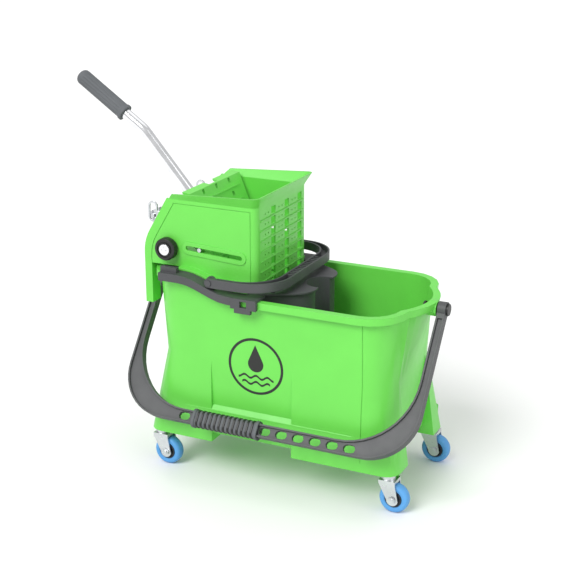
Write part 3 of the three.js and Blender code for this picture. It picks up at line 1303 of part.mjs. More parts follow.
// A closed solid over rings of points along a path.
function skin(rings) {
  const count = rings[0].length;
  const positions = rings.flat().flatMap((point) => point.toArray());
  const index = [];
  for (let level = 0; level < rings.length - 1; level += 1) {
    for (let i = 0; i < count; i += 1) {
      const a = level * count + i;
      const b = level * count + ((i + 1) % count);
      index.push(a, b, b + count, a, b + count, a + count);
    }
  }
  const top = (rings.length - 1) * count;
  for (let i = 1; i < count - 1; i += 1) {
    index.push(0, i + 1, i);
    index.push(top, top + i, top + i + 1);
  }
  const geometry = new THREE.BufferGeometry();
  geometry.setAttribute('position', new THREE.Float32BufferAttribute(positions, 3));
  geometry.setIndex(index);
  return solid(geometry);
}

function leverTube() {
  let tube = tubeAlong(tubeRoute(0), TUBE_RADIUS, 14);
  tube = tube.subtract(tubeAlong(tubeRoute(5), TUBE_RADIUS - TUBE_WALL, 10));
  for (const [, along] of BOLT_PLACES) {
    const from = leverPoint(along, TUBE_OFFSET - 20, 0).toArray();
    const to = leverPoint(along, TUBE_OFFSET + 20, 0).toArray();
    tube = tube.subtract(rod(LEVER_BOLT_RADIUS + RUNNING, from, to, 10));
  }
  return tube;
}

part('lever_tube', leverTube(), 'chrome');

function leverGrip() {
  const { end, heading } = tubeRoute(0);
  const at = (s) => end.clone().addScaledVector(heading, s).toArray();
  const start = -LEVER_GRIP_LENGTH + 4;
  let grip = rod(LEVER_GRIP_RADIUS, at(start), at(4), 24);
  grip = grip.add(rod(LEVER_GRIP_RADIUS + 1.5, at(start), at(start + 5), 24));
  const side = new THREE.Vector3(0, 1, 0);
  const up = new THREE.Vector3().crossVectors(heading, side);
  for (let i = 0; i < LEVER_GRIP_FLUTES; i += 1) {
    const angle = (2 * Math.PI * i) / LEVER_GRIP_FLUTES;
    const offset = side.clone().multiplyScalar(Math.cos(angle)).addScaledVector(up, Math.sin(angle));
    offset.multiplyScalar(LEVER_GRIP_RADIUS + 0.6);
    const from = new THREE.Vector3(...at(start + 11)).add(offset).toArray();
    const to = new THREE.Vector3(...at(-5)).add(offset).toArray();
    grip = grip.subtract(rod(1.6, from, to, 4));
  }
  return grip.subtract(rod(TUBE_RADIUS + GAP, at(start - 5), at(GAP), 14));
}

part('lever_grip', leverGrip(), 'gripGrey');

for (const [name, along] of BOLT_PLACES) {
  const at = (over) => leverPoint(along, over, 0).toArray();
  const under = WEB_LOW - GAP;
  const above = TUBE_OFFSET + TUBE_RADIUS + GAP;
  const bolt = join(
    rod(LEVER_BOLT_RADIUS, at(under - 3), at(above + 3), 12),
    rod(5.5, at(under - 3.5), at(under), 6),
    rod(5.5, at(above), at(above + 3), 16),
  );
  part(`lever_bolt_${name}`, bolt, 'steel');
}

for (const [sideName, side] of SIDES) {
  const at = (y) => [CRANK_X, side * y, CRANK_Z];
  const head = CHEEK_INNER_Y - GAP;
  const pin = join(
    rod(CRANK_PIN_RADIUS, at(head - 2), at(YOKE_OUTER_Y + 1), 16),
    rod(CRANK_PIN_RADIUS + 2, at(head - 2), at(head), 16),
  );
  part(`crank_pin_${sideName}`, pin, 'steel');
}

// ---------------------------------------------------------------- pivot shaft and knobs

const KNOB_INNER_Y = WRINGER_HALF_WIDTH + 1.5 + GAP;
const KNOB_OUTER_Y = KNOB_INNER_Y + KNOB_THICKNESS;
const SHAFT_END_Y = KNOB_INNER_Y + 5;

const shaftAt = (y) => [PIVOT_X, y, PIVOT_Z];
part('pivot_shaft', rod(SHAFT_RADIUS, shaftAt(-SHAFT_END_Y), shaftAt(SHAFT_END_Y), 24), 'steel');

for (const [sideName, side] of SIDES) {
  const at = (y) => shaftAt(side * y);
  let knob = join(
    rod(KNOB_RADIUS, at(KNOB_INNER_Y), at(KNOB_OUTER_Y - 2), 22),
    rod(KNOB_RADIUS - 2, at(KNOB_OUTER_Y - 2.5), at(KNOB_OUTER_Y), 22),
  );
  knob = knob.subtract(rod(SHAFT_RADIUS + RUNNING, at(KNOB_INNER_Y - 3), at(SHAFT_END_Y + GAP)));
  knob = knob.subtract(rod(SCREW_RADIUS + GAP, at(KNOB_OUTER_Y - 2), at(KNOB_OUTER_Y + 5), 20));
  part(`pivot_knob_${sideName}`, knob, 'black');
  const seat = KNOB_OUTER_Y - 2 + GAP;
  const face = seat + SCREW_HEAD;
  let screw = rod(SCREW_RADIUS, at(seat), at(face), 20);
  const low = Math.min(side * (face - 1.2), side * (face + 1));
  screw = screw.subtract(box(PIVOT_X - 5, PIVOT_X + 5, low, low + 2.2, PIVOT_Z - 1, PIVOT_Z + 1));
  screw = screw.subtract(box(PIVOT_X - 1, PIVOT_X + 1, low, low + 2.2, PIVOT_Z - 5, PIVOT_Z + 5));
  part(`pivot_screw_${sideName}`, screw, 'chrome');
}

// ---------------------------------------------------------------- origin

// The origin is the bottom centre of the bounding box.
const bounds = new THREE.Box3().setFromObject(object);
const centre = bounds.getCenter(new THREE.Vector3());
for (const piece of object.children) piece.position.set(-centre.x, -centre.y, -bounds.min.z);

export default object;
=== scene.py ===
"""Mop bucket with wringer: the visual model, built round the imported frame.

Units are metres. Positions come from the frame's own boxes; local sizes are the named values below.
"""

import json
import math

import bmesh
import bpy
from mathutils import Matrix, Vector


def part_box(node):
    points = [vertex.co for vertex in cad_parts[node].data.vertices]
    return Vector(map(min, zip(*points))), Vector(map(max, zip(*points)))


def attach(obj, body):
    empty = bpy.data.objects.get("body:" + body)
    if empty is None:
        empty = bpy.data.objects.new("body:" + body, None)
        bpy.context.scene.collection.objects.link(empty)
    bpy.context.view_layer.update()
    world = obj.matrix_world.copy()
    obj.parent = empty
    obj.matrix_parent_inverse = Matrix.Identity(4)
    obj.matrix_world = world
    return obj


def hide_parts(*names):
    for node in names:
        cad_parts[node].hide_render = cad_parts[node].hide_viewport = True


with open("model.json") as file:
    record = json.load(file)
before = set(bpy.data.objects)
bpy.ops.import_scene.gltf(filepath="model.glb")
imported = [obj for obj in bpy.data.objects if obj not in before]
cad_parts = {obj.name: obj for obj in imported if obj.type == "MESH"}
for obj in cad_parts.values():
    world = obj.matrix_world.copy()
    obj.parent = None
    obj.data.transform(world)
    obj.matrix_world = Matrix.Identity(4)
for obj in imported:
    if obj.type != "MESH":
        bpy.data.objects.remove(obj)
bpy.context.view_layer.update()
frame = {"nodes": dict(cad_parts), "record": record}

MM = 0.001
NODES = frame["nodes"]
SLOT_OF = {s["node"]: s["material_slot"] for s in frame["record"]["subparts"]}
BODY_OF = {n: b for b, nodes in frame["record"]["behaviour"]["bodies"].items() for n in nodes}

# ------------------------------------------------------------------ places read from the frame

def middle(node):
    low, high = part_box(node)
    return (low + high) / 2


# ------------------------------------------------------------------ materials


def new_material(name):
    material = bpy.data.materials.new(name)
    material.use_nodes = True
    nodes = material.node_tree.nodes
    nodes.clear()
    output = nodes.new("ShaderNodeOutputMaterial")
    shader = nodes.new("ShaderNodeBsdfPrincipled")
    material.node_tree.links.new(shader.outputs["BSDF"], output.inputs["Surface"])
    return material, shader


EVEN = (1.0, 1.0, 1.0)
GRAIN_DETAIL = 2.0


def noise(material, scale, detail, stretch=EVEN):
    """A noise texture in the piece's own coordinates, so that it moves with the piece."""
    tree = material.node_tree
    place = tree.nodes.new("ShaderNodeTexCoord")
    mapping = tree.nodes.new("ShaderNodeMapping")
    mapping.inputs["Scale"].default_value = stretch
    texture = tree.nodes.new("ShaderNodeTexNoise")
    texture.inputs["Scale"].default_value = scale
    texture.inputs["Detail"].default_value = detail
    tree.links.new(place.outputs["Object"], mapping.inputs["Vector"])
    tree.links.new(mapping.outputs["Vector"], texture.inputs["Vector"])
    return texture.outputs["Fac"]


def tint(material, shader, colour, amount, scale, detail):
    """A base colour that drifts a little lighter and darker over the surface."""
    tree = material.node_tree
    ramp = tree.nodes.new("ShaderNodeValToRGB")
    dark = [c * (1 - amount) for c in colour]
    light = [min(c * (1 + amount), 1.0) for c in colour]
    ramp.color_ramp.elements[0].position = 0.3
    ramp.color_ramp.elements[0].color = (*dark, 1)
    ramp.color_ramp.elements[1].position = 0.7
    ramp.color_ramp.elements[1].color = (*light, 1)
    tree.links.new(noise(material, scale, detail), ramp.inputs["Fac"])
    tree.links.new(ramp.outputs["Color"], shader.inputs["Base Color"])


def vary_roughness(material, shader, low, high, scale, stretch=EVEN):
    """An uneven gloss between two roughness values."""
    tree = material.node_tree
    spread = tree.nodes.new("ShaderNodeMapRange")
    spread.inputs["To Min"].default_value = low
    spread.inputs["To Max"].default_value = high
    tree.links.new(noise(material, scale, 3.0, stretch), spread.inputs["Value"])
    tree.links.new(spread.outputs["Result"], shader.inputs["Roughness"])


def bump(material, shader, scale, depth, stretch=EVEN, edge=0.0):
    """Fine surface relief. An edge radius also rounds the look of the sharp edges."""
    tree = material.node_tree
    relief = tree.nodes.new("ShaderNodeBump")
    relief.inputs["Distance"].default_value = depth
    relief.inputs["Strength"].default_value = 1.0
    tree.links.new(noise(material, scale, GRAIN_DETAIL, stretch), relief.inputs["Height"])
    tree.links.new(relief.outputs["Normal"], shader.inputs["Normal"])
    if edge:
        rounded = tree.nodes.new("ShaderNodeBevel")
        rounded.samples = 4
        rounded.inputs["Radius"].default_value = edge
        tree.links.new(rounded.outputs["Normal"], relief.inputs["Normal"])


def moulded(name, colour, rough, grain_scale, grain_depth, drift=0.05, specular=0.5, edge=0.0):
    """A moulded plastic or rubber: drifting colour, uneven gloss and a fine grain."""
    material, shader = new_material(name)
    tint(material, shader, colour, drift, 14.0, 3.0)
    vary_roughness(material, shader, rough - 0.06, rough + 0.08, 60.0)
    bump(material, shader, grain_scale, grain_depth, edge=edge)
    shader.inputs["Specular IOR Level"].default_value = specular
    return material


def metal(name, colour, rough, stretch):
    """A plated metal with fine marks drawn out along one direction."""
    material, shader = new_material(name)
    tint(material, shader, colour, 0.06, 40.0, 3.0)
    vary_roughness(material, shader, rough, rough + 0.14, 120.0, stretch)
    bump(material, shader, 300.0, 0.02 * MM, stretch)
    shader.inputs["Metallic"].default_value = 1.0
    return material


GREEN = (0.14, 0.63, 0.075)
PRESS_GREEN = (0.165, 0.67, 0.095)
DARK_GREY = (0.060, 0.062, 0.066)
BAIL_GREY = (0.066, 0.068, 0.071)

MATERIALS = {
    "green_plastic": moulded("green_plastic", GREEN, 0.36, 900.0, 0.03 * MM, 0.03, 0.5, 1.2 * MM),
    "press_plastic": moulded("press_plastic", PRESS_GREEN, 0.38, 900.0, 0.03 * MM, 0.03, 0.5, 0.8 * MM),
    "dark_plastic": moulded("dark_plastic", DARK_GREY, 0.5, 1400.0, 0.06 * MM, 0.12, 0.5, 1.0 * MM),
    "bail_plastic": moulded("bail_plastic", BAIL_GREY, 0.52, 1400.0, 0.07 * MM, 0.12, 0.5, 1.2 * MM),
    "grip_rubber": moulded("grip_rubber", (0.105, 0.112, 0.120), 0.66, 1800.0, 0.08 * MM, 0.1, 0.4),
    "black_plastic": moulded("black_plastic", (0.010, 0.011, 0.010), 0.4, 1200.0, 0.04 * MM, 0.2),
    "blue_tyre": moulded("blue_tyre", (0.09, 0.32, 0.66), 0.5, 1500.0, 0.05 * MM, 0.1, 0.45),
    "hub_plastic": moulded("hub_plastic", (0.016, 0.020, 0.027), 0.45, 1200.0, 0.04 * MM, 0.2),
    "zinc_steel": metal("zinc_steel", (0.62, 0.64, 0.66), 0.22, (1.0, 6.0, 1.0)),
    "chrome_tube": metal("chrome_tube", (0.86, 0.87, 0.89), 0.12, (1.0, 1.0, 5.0)),
}
# ------------------------------------------------------------------ mesh helpers

SHARP = 28.0  # edges that bend more than this many degrees stay sharp
SHARP_ROUND = 50.0
SHARP_SOFT = 40.0
SHARP_RIB = 35.0
SMALL_EDGE = 0.4 * MM
WELD = 0.002 * MM
LARGE = {
    "bucket_shell",
    "wringer_body",
    "press_plate",
    "inner_bucket",
    "inner_bail",
    "bail_frame",
    "lever_bracket",
}


def add_object(name, mesh):
    obj = bpy.data.objects.new(name, mesh)
    bpy.context.scene.collection.objects.link(obj)
    return obj


def joined(mesh, flat_seams):
    """Joins split corners, shades the mesh smooth and keeps its sharp edges. With flat_seams it also
    dissolves the seams inside flat faces."""
    work = bmesh.new()
    work.from_mesh(mesh)
    bmesh.ops.remove_doubles(work, verts=work.verts, dist=WELD)
    if flat_seams:
        bmesh.ops.dissolve_limit(
            work,
            angle_limit=math.radians(0.4),
            verts=work.verts,
            edges=work.edges,
            use_dissolve_boundaries=False,
        )
    work.to_mesh(mesh)
    work.free()
    for attribute in ("custom_normal", "sharp_edge", "sharp_face"):
        if attribute in mesh.attributes:
            mesh.attributes.remove(mesh.attributes[attribute])
    mesh.shade_smooth()
    if not flat_seams:
        mesh.set_sharp_from_angle(angle=math.radians(SHARP))


def soften(obj):
    """Rounds the edges and keeps the flat faces flat."""
    bevel = obj.modifiers.new("edges", "BEVEL")
    bevel.width = SMALL_EDGE
    bevel.segments = 2
    bevel.limit_method = "ANGLE"
    bevel.angle_limit = math.radians(32.0)
    bevel.use_clamp_overlap = True
    bevel.miter_outer = "MITER_ARC"
    weigh = obj.modifiers.new("normals", "WEIGHTED_NORMAL")
    weigh.keep_sharp = True


def dress(obj, slot_name, body):
    """Gives a piece its material, its slot and the body it rides on."""
    obj.data.materials.clear()
    obj.data.materials.append(MATERIALS[slot_name])
    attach(obj, body)


def shown(obj, node):
    """Makes an object the looks of a CAD node."""
    dress(obj, SLOT_OF[node], BODY_OF[node])
    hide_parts(node)


def refined(node):
    """A copy of a CAD node that is shown in its place: small ones get rounded edges."""
    mesh = NODES[node].data.copy()
    obj = add_object("shown_" + node, mesh)
    small = node not in LARGE
    joined(mesh, small)
    if small:
        soften(obj)
    shown(obj, node)


def mesh_object(name, points, faces, sharp):
    """A smooth mesh whose faces point outwards. Edges that bend more than sharp degrees stay sharp."""
    mesh = bpy.data.meshes.new(name)
    mesh.from_pydata([tuple(p) for p in points], [], faces)
    work = bmesh.new()
    work.from_mesh(mesh)
    bmesh.ops.recalc_face_normals(work, faces=work.faces)
    work.to_mesh(mesh)
    work.free()
    mesh.shade_smooth()
    mesh.set_sharp_from_angle(angle=math.radians(sharp))
    return add_object(name, mesh)


def loop_skin(name, rings, closed, sharp=SHARP):
    """A skin over rings of points. A closed one joins its last ring to its first; an open one is
    capped at both ends."""
    count = len(rings[0])
    points = [p for ring in rings for p in ring]
    faces = []
    for level in range(len(rings) if closed else len(rings) - 1):
        low = level * count
        high = ((level + 1) % len(rings)) * count
        for i in range(count):
            j = (i + 1) % count
            faces.append((low + i, low + j, high + j, high + i))
    if not closed:
        faces.append(tuple(range(count)))
        faces.append(tuple(range(len(points) - count, len(points))))
    return mesh_object(name, points, faces, sharp)


def lathe(name, centre, profile, segments, sharp=SHARP):
    """Turns a closed profile of (radius, height along Y) about an axle along Y."""
    rings = []
    for radius, y in profile:
        ring = []
        for i in range(segments):
            angle = 2 * math.pi * i / segments
            ring.append(centre + Vector((radius * math.cos(angle), y, radius * math.sin(angle))))
        rings.append(ring)
    return loop_skin(name, rings, True, sharp)


def circle(centre, side, up, radius, segments, flute=0.0, flutes=0):
    """Points of a circle, with lengthwise flutes if a flute depth is given."""
    points = []
    for i in range(segments):
        angle = 2 * math.pi * i / segments
        dip = flute * max(math.cos(flutes * angle), 0.0) ** 2 if flute else 0.0
        reach = radius - dip
        points.append(centre + side * (reach * math.cos(angle)) + up * (reach * math.sin(angle)))
    return points


# ------------------------------------------------------------------ casters

WHEEL_CREASE = 1.6 * MM  # how far the tread falls at its edges
TYRE_ROUND = 2.2 * MM
HUB_REST = 0.3 * MM  # gap between tyre and hub
HUB_BORE = 4.3 * MM
HUB_BOSS = 7.0 * MM
HUB_RIM = 2.6 * MM
HUB_DISH = 4.0 * MM
WHEEL_SEGMENTS = 72
LABELS = [end + "_" + side for end in ("left", "right") for side in ("near", "far")]


def tyre(label):
    low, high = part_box("caster_tyre_" + label)
    hub_low, hub_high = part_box("caster_hub_" + label)
    radius = (high.z - low.z) / 2
    half = (high.y - low.y) / 2
    inner = (hub_high.z - hub_low.z) / 2 + HUB_REST
    shoulder = radius - WHEEL_CREASE
    profile = [
        (inner, -half + TYRE_ROUND),
        (inner + 0.8 * MM, -half + 0.5 * MM),
        (inner + 2.6 * MM, -half),
        (shoulder - 3.4 * MM, -half),
        (shoulder - 1.2 * MM, -half + 0.8 * MM),
        (shoulder, -half + TYRE_ROUND),
        (radius - 0.5 * MM, -half * 0.55),
        (radius, -half * 0.2),
    ]
    profile += [(r, -y) for r, y in reversed(profile)]
    obj = lathe("tyre_" + label, (low + high) / 2, profile, WHEEL_SEGMENTS, SHARP_ROUND)
    shown(obj, "caster_tyre_" + label)


def hub(label):
    low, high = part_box("caster_hub_" + label)
    radius = (high.z - low.z) / 2
    half = (high.y - low.y) / 2
    rim = radius - HUB_RIM
    profile = [
        (HUB_BORE, -half),
        (HUB_BOSS - 0.6 * MM, -half),
        (HUB_BOSS, -half + 0.6 * MM),
        (HUB_BOSS, -half + HUB_DISH),
        (rim, -half + HUB_DISH),
        (rim, -half + 1.6 * MM),
        (rim + 0.6 * MM, -half + 1.0 * MM),
        (radius - 0.4 * MM, -half + 1.0 * MM),
        (radius, -half + 1.5 * MM),
    ]
    profile += [(r, -y) for r, y in reversed(profile)]
    obj = lathe("hub_" + label, (low + high) / 2, profile, WHEEL_SEGMENTS)
    shown(obj, "caster_hub_" + label)


for label in LABELS:
    tyre(label)
    hub(label)

# ------------------------------------------------------------------ lever tube and its hand grip

PIVOT = middle("pivot_shaft")
TUBE_ANGLE = math.radians(131)
TUBE_UPPER_ANGLE = math.radians(145.5)
TUBE_OFFSET = 38 * MM
TUBE_START = 6 * MM
TUBE_STRAIGHT = 196 * MM
TUBE_UPPER = 148 * MM
TUBE_BEND = 60 * MM
TUBE_RADIUS = 9.5 * MM
TUBE_WALL = 1.6 * MM
TUBE_SIDES = 40
BEND_STEPS = 12


def in_lever(along, over):
    """A point of the lever's mid plane: along the lever and square to it, from its pivot."""
    c = math.cos(TUBE_ANGLE)
    s = math.sin(TUBE_ANGLE)
    return PIVOT + Vector((along * c + over * s, 0, along * s - over * c))


def direction(angle):
    return Vector((math.cos(angle), 0, math.sin(angle)))


CORNER = in_lever(TUBE_STRAIGHT, TUBE_OFFSET)
TUBE_END = CORNER + direction(TUBE_UPPER_ANGLE) * TUBE_UPPER
TURN = TUBE_UPPER_ANGLE - TUBE_ANGLE
TRIM = TUBE_BEND * math.tan(TURN / 2)
SIDE = Vector((0, 1, 0))


def tube_path():
    """Points and headings along the middle of the tube."""
    start = in_lever(TUBE_START, TUBE_OFFSET)
    bend_start = CORNER - direction(TUBE_ANGLE) * TRIM
    centre = bend_start + direction(TUBE_ANGLE + math.pi / 2) * TUBE_BEND
    path = [(start, TUBE_ANGLE)]
    for i in range(BEND_STEPS + 1):
        angle = TUBE_ANGLE + TURN * i / BEND_STEPS
        path.append((centre + direction(angle - math.pi / 2) * TUBE_BEND, angle))
    path.append((TUBE_END, TUBE_UPPER_ANGLE))
    return path


def lever_tube():
    outer = []
    inner = []
    for point, angle in tube_path():
        up = direction(angle + math.pi / 2)
        outer.append(circle(point, SIDE, up, TUBE_RADIUS, TUBE_SIDES))
        inner.append(circle(point, SIDE, up, TUBE_RADIUS - TUBE_WALL, TUBE_SIDES))
    shown(loop_skin("tube", outer + inner[::-1], True, SHARP_SOFT), "lever_tube")


lever_tube()

GRIP_RADIUS = 13.5 * MM
GRIP_COLLAR = 15.0 * MM
GRIP_LENGTH = 108 * MM
GRIP_END = 4 * MM
GRIP_BORE = 9.8 * MM
GRIP_FLUTE = 1.3 * MM
GRIP_FLUTES = 14
GRIP_SIDES = 168
GRIP_DOME = 9.0 * MM  # radius of the rounded end
GRIP_TIP_HOLE = 2.0 * MM  # radius of the vent that the plug fills
GRIP_SEAT = 0.4 * MM  # end of the bore, past the end of the tube


def lever_grip():
    heading = direction(TUBE_UPPER_ANGLE)
    up = direction(TUBE_UPPER_ANGLE + math.pi / 2)
    start = GRIP_END - GRIP_LENGTH
    # Each station: place along the tube from its end, radius and flute depth.
    stations = [
        (start + 0.8 * MM, GRIP_COLLAR - 1.6 * MM, 0.0),
        (start, GRIP_COLLAR - 0.8 * MM, 0.0),
        (start + 0.3 * MM, GRIP_COLLAR - 0.2 * MM, 0.0),
        (start + 1.2 * MM, GRIP_COLLAR, 0.0),
        (start + 4.6 * MM, GRIP_COLLAR, 0.0),
        (start + 5.8 * MM, GRIP_COLLAR - 0.5 * MM, 0.0),
        (start + 7.0 * MM, GRIP_RADIUS, 0.0),
        (start + 10.0 * MM, GRIP_RADIUS, 0.0),
        (start + 12.0 * MM, GRIP_RADIUS, GRIP_FLUTE),
        (-9.0 * MM, GRIP_RADIUS, GRIP_FLUTE),
        (-6.5 * MM, GRIP_RADIUS, 0.0),
    ]
    for i in range(7):
        angle = math.radians(8 + 11 * i)
        along = GRIP_END - GRIP_DOME + GRIP_DOME * math.sin(angle)
        stations.append((along, GRIP_RADIUS - GRIP_DOME * (1 - math.cos(angle)), 0.0))
    stations.append((GRIP_END, GRIP_TIP_HOLE, 0.0))
    stations.append((GRIP_SEAT, GRIP_TIP_HOLE, 0.0))
    stations.append((GRIP_SEAT, GRIP_BORE, 0.0))
    stations.append((start + 0.8 * MM, GRIP_BORE, 0.0))
    rings = []
    for along, radius, flute in stations:
        centre = TUBE_END + heading * along
        rings.append(circle(centre, SIDE, up, radius, GRIP_SIDES, flute, GRIP_FLUTES))
    shown(loop_skin("lever_hand_grip", rings, True, SHARP_SOFT), "lever_grip")
    plug_stations = [
        (0.5 * MM, 1.6 * MM),
        (GRIP_END + 0.6 * MM, 1.6 * MM),
        (GRIP_END + 0.9 * MM, 1.2 * MM),
    ]
    plug = [circle(TUBE_END + heading * along, SIDE, up, radius, 24) for along, radius in plug_stations]
    dress(loop_skin("lever_grip_plug", plug, False, SHARP_SOFT), "grip_rubber", BODY_OF["lever_grip"])


lever_grip()

# ------------------------------------------------------------------ hand grip of the carrying bail

BAIL_PIN = middle("bail_pin_left")
GRIP_MIDDLE = middle("bail_grip")
BAIL_LEAN = math.atan2(BAIL_PIN.y - GRIP_MIDDLE.y, BAIL_PIN.z - GRIP_MIDDLE.z)
BAIL_UP = Vector((0, math.sin(BAIL_LEAN), math.cos(BAIL_LEAN)))
BAIL_ACROSS = Vector((0, math.cos(BAIL_LEAN), -math.sin(BAIL_LEAN)))
BAR_THICKNESS = 15 * MM
BAR_HEIGHT = 22 * MM
BAR_REST = 0.35 * MM
SLEEVE_WALL = 2.4 * MM
SLEEVE_COLLAR = 4.4 * MM
RIB_COUNT = 13
RIB_HEIGHT = 1.1 * MM
RIB_WIDTH = 3.0 * MM
RIB_FOOT = 4.4 * MM


BAR_CORNER = 5.0 * MM
BAR_CORNER_STEPS = 6
COLLAR_LENGTH = 6.0 * MM
COLLAR_ROUND = 1.2 * MM
COLLAR_EDGE = 0.6 * MM
LINING = 0.1 * MM
LINING_CORNER = 0.4 * MM


def bar_section(x, out, radius):
    """A rounded rectangle round the bail's bar."""
    half_across = BAR_THICKNESS / 2 + BAR_REST + out
    half_up = BAR_HEIGHT / 2 + BAR_REST + out
    radius = max(min(radius + out, half_across - 0.5 * MM), LINING_CORNER)
    place = Vector((x, GRIP_MIDDLE.y, GRIP_MIDDLE.z))
    points = []
    for sign_a, sign_u, turn in ((1, 1, 0), (-1, 1, 1), (-1, -1, 2), (1, -1, 3)):
        for i in range(BAR_CORNER_STEPS + 1):
            angle = (turn + i / BAR_CORNER_STEPS) * math.pi / 2
            across = sign_a * (half_across - radius) + radius * math.cos(angle)
            upward = sign_u * (half_up - radius) + radius * math.sin(angle)
            points.append(place + BAIL_ACROSS * across + BAIL_UP * upward)
    return points


def bail_grip():
    low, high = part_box("bail_grip")
    start = low.x
    length = high.x - low.x
    # Each station: place from an end of the sleeve and how far it stands off the bar.
    half = [
        (COLLAR_EDGE, SLEEVE_COLLAR - 1.0 * MM),
        (0.0, SLEEVE_COLLAR - COLLAR_EDGE),
        (COLLAR_EDGE, SLEEVE_COLLAR),
        (COLLAR_LENGTH - COLLAR_ROUND, SLEEVE_COLLAR),
        (COLLAR_LENGTH, SLEEVE_WALL),
    ]
    rings = [bar_section(start + x, out, BAR_CORNER) for x, out in half]
    rings += [bar_section(start + length - x, out, BAR_CORNER) for x, out in reversed(half)]
    for x in (start + length - COLLAR_EDGE, start + COLLAR_EDGE):
        rings.append(bar_section(x, LINING, LINING_CORNER))
    shown(loop_skin("bail_sleeve", rings, True, SHARP_RIB), "bail_grip")

    pitch = (length - 2 * COLLAR_LENGTH) / RIB_COUNT
    inside = SLEEVE_WALL - 0.8 * MM
    top = SLEEVE_WALL + RIB_HEIGHT
    rib_half = [(-RIB_FOOT / 2, inside), (-RIB_FOOT / 2, SLEEVE_WALL), (-RIB_WIDTH / 2, top)]
    rib_profile = rib_half + [(-x, out) for x, out in reversed(rib_half)]
    for i in range(RIB_COUNT):
        middle_x = start + COLLAR_LENGTH + pitch * (i + 0.5)
        sections = [bar_section(middle_x + x, out, BAR_CORNER) for x, out in rib_profile]
        rib = loop_skin("bail_grip_rib_%d" % i, sections, True, SHARP_RIB)
        dress(rib, "black_plastic", BODY_OF["bail_grip"])


bail_grip()

# ------------------------------------------------------------------ pivot knobs

KNOB_ROUND = 2.0 * MM
KNOB_RING = 12.6 * MM  # middle of the ring groove in the knob's face
KNOB_RING_WIDTH = 2.2 * MM
KNOB_RING_DEPTH = 1.6 * MM
KNOB_RING_SLOPE = 0.3 * MM
KNOB_BACK_EDGE = 1.0 * MM
KNOB_BORE_DEPTH = 5.5 * MM
KNOB_SEAT_DEPTH = 2.0 * MM
KNOB_CORE = 1.0 * MM
KNOB_SEGMENTS = 64


def knob(side, outward):
    low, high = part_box("pivot_knob_" + side)
    screw_low, screw_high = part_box("pivot_screw_" + side)
    shaft_low, shaft_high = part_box("pivot_shaft")
    radius = (high.z - low.z) / 2
    length = high.y - low.y
    seat = (screw_high.z - screw_low.z) / 2 + 0.4 * MM
    bore = (shaft_high.z - shaft_low.z) / 2 + 0.3 * MM
    ring_out = KNOB_RING + KNOB_RING_WIDTH / 2
    ring_in = KNOB_RING - KNOB_RING_WIDTH / 2
    # Each point: radius and distance from the wringer's side.
    profile = [
        (bore, 0.0),
        (radius - KNOB_BACK_EDGE, 0.0),
        (radius, KNOB_BACK_EDGE),
        (radius, length - KNOB_ROUND),
        (radius - 0.6 * MM, length - 0.7 * MM),
        (radius - KNOB_ROUND, length),
        (ring_out, length),
        (ring_out - KNOB_RING_SLOPE, length - KNOB_RING_DEPTH),
        (ring_in + KNOB_RING_SLOPE, length - KNOB_RING_DEPTH),
        (ring_in, length),
        (seat, length),
        (seat, length - KNOB_SEAT_DEPTH),
        (KNOB_CORE, length - KNOB_SEAT_DEPTH),
        (KNOB_CORE, KNOB_BORE_DEPTH),
        (bore, KNOB_BORE_DEPTH),
    ]
    inner_y = high.y if outward < 0 else low.y
    centre = (low + high) / 2
    centre.y = inner_y
    obj = lathe("knob_" + side, centre, [(r, y * outward) for r, y in profile], KNOB_SEGMENTS)
    shown(obj, "pivot_knob_" + side)


knob("near", -1)
knob("far", 1)

# ------------------------------------------------------------------ printed mark on the near side

SHELL_LOW, SHELL_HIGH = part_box("bucket_shell")
RIM_HEIGHT = 332 * MM
RIM_HALF_WIDTH = 123 * MM
SIDE_TAPER = 0.04
MARK_X = -20 * MM  # from the middle of the bucket
MARK_HEIGHT = 216 * MM
MARK_RADIUS = 50 * MM
MARK_LINE = 4.5 * MM
MARK_THICKNESS = 0.5 * MM
MARK_PROUD = 0.2 * MM
MARK_STEPS = 72
DROP_RADIUS = 14 * MM
DROP_TIP = 34 * MM  # from the middle of the drop's round part
DROP_MIDDLE = 4 * MM
DROP_STEPS = 32
WAVE_HALF = 32 * MM
WAVE_HEIGHT = 2.6 * MM
WAVE_LENGTH = 21 * MM
WAVE_STEPS = 48
WAVE_LINE = 3.8 * MM


def on_side(u, v, depth):
    """A point of the sloping near side: u along the bucket, v up, depth into the wall."""
    middle_x = (SHELL_LOW.x + SHELL_HIGH.x) / 2
    middle_y = (SHELL_LOW.y + SHELL_HIGH.y) / 2
    z = MARK_HEIGHT + v
    y = middle_y - (RIM_HALF_WIDTH - SIDE_TAPER * (RIM_HEIGHT - z))
    return Vector((middle_x + MARK_X + u, y + depth - MARK_PROUD, z))


def printed(name, outline):
    rings = [[on_side(u, v, depth) for u, v in outline] for depth in (0.0, MARK_THICKNESS)]
    dress(loop_skin(name, rings, False), "black_plastic", BODY_OF["bucket_shell"])


def mark_ring():
    rings = []
    for radius, depth in (
        (MARK_RADIUS, MARK_THICKNESS),
        (MARK_RADIUS, 0.0),
        (MARK_RADIUS - MARK_LINE, 0.0),
        (MARK_RADIUS - MARK_LINE, MARK_THICKNESS),
    ):
        turns = [2 * math.pi * i / MARK_STEPS for i in range(MARK_STEPS)]
        rings.append([on_side(radius * math.cos(t), radius * math.sin(t), depth) for t in turns])
    dress(loop_skin("mark_ring", rings, True), "black_plastic", BODY_OF["bucket_shell"])


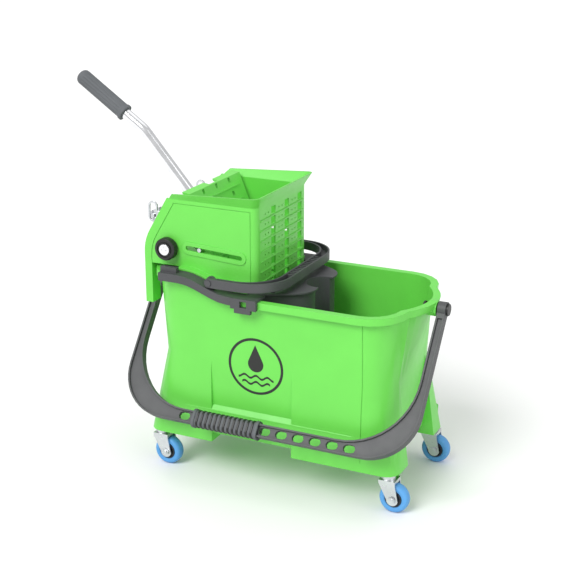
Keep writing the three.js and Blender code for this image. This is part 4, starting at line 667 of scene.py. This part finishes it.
def mark_drop():
    tangent = math.acos(DROP_RADIUS / DROP_TIP)
    outline = [(0.0, DROP_MIDDLE + DROP_TIP)]
    for i in range(DROP_STEPS + 1):
        turn = math.pi / 2 - tangent - (2 * math.pi - 2 * tangent) * i / DROP_STEPS
        outline.append((DROP_RADIUS * math.cos(turn), DROP_MIDDLE + DROP_RADIUS * math.sin(turn)))
    printed("mark_drop", outline)


def mark_wave(name, level, half):
    middle_line = []
    for i in range(WAVE_STEPS + 1):
        u = half * (2 * i / WAVE_STEPS - 1)
        middle_line.append((u, level + WAVE_HEIGHT * math.cos(2 * math.pi * u / WAVE_LENGTH)))
    half_line = WAVE_LINE / 2
    outline = [(u, v - half_line) for u, v in middle_line]
    outline += [(u, v + half_line) for u, v in reversed(middle_line)]
    printed(name, outline)


mark_ring()
mark_drop()
mark_wave("mark_wave_high", -19 * MM, WAVE_HALF)
mark_wave("mark_wave_low", -30 * MM, WAVE_HALF * 0.8)

# ------------------------------------------------------------------ the rest of the CAD pieces

SPECIAL = {"lever_tube", "lever_grip", "bail_grip", "pivot_knob_near", "pivot_knob_far"}
SPECIAL |= {"caster_tyre_" + label for label in LABELS}
SPECIAL |= {"caster_hub_" + label for label in LABELS}
for node in NODES:
    if node not in SPECIAL:
        refined(node)

# ------------------------------------------------------------------ floor, light and camera


def plane(name, size, z):
    mesh = bpy.data.meshes.new(name)
    half = size / 2
    corners = [(-half, -half, z), (half, -half, z), (half, half, z), (-half, half, z)]
    mesh.from_pydata(corners, [], [(0, 1, 2, 3)])
    return add_object(name, mesh)


floor = plane("floor", 120.0, 0.0)
floor_material, floor_shader = new_material("floor")
tint(floor_material, floor_shader, (0.88, 0.88, 0.88), 0.01, 2.0, 2.0)
floor_shader.inputs["Roughness"].default_value = 0.6
floor.data.materials.append(floor_material)


def sun(name, azimuth, elevation, strength, spread):
    """A soft distant light. Azimuth is counted from the near side towards +X."""
    light = bpy.data.lights.new(name, "SUN")
    light.energy = strength
    light.angle = math.radians(spread)
    obj = bpy.data.objects.new(name, light)
    bpy.context.scene.collection.objects.link(obj)
    a, e = math.radians(azimuth), math.radians(elevation)
    towards = Vector((math.sin(a) * math.cos(e), -math.cos(a) * math.cos(e), math.sin(e)))
    obj.rotation_mode = "QUATERNION"
    obj.rotation_quaternion = (-towards).to_track_quat("-Z", "Y")


sun("key", -14, 44, 2.3, 30)
sun("right", 80, 30, 0.6, 40)
sun("top", 190, 70, 0.45, 60)

world = bpy.data.worlds.new("world")
world.use_nodes = True
world.node_tree.nodes["Background"].inputs["Color"].default_value = (1.0, 1.0, 1.0, 1)
world.node_tree.nodes["Background"].inputs["Strength"].default_value = 0.6
bpy.context.scene.world = world
bpy.context.scene.view_settings.view_transform = "Standard"

CAMERA_AIM = Vector((0.048, 0.027, 0.316))
CAMERA_DISTANCE = 2.188
CAMERA_AZIMUTH = math.radians(25.4)
CAMERA_ELEVATION = math.radians(18.3)

camera_data = bpy.data.cameras.new("camera")
camera_data.sensor_width = 36.0
camera_data.lens = 81.06
camera_data.dof.use_dof = False
camera = bpy.data.objects.new("camera", camera_data)
bpy.context.scene.collection.objects.link(camera)
away = Vector(
    (
        math.sin(CAMERA_AZIMUTH) * math.cos(CAMERA_ELEVATION),
        -math.cos(CAMERA_AZIMUTH) * math.cos(CAMERA_ELEVATION),
        math.sin(CAMERA_ELEVATION),
    )
)
camera.location = CAMERA_AIM + away * CAMERA_DISTANCE
camera.rotation_mode = "QUATERNION"
camera.rotation_quaternion = (-away).to_track_quat("-Z", "Y")
bpy.context.scene.camera = camera
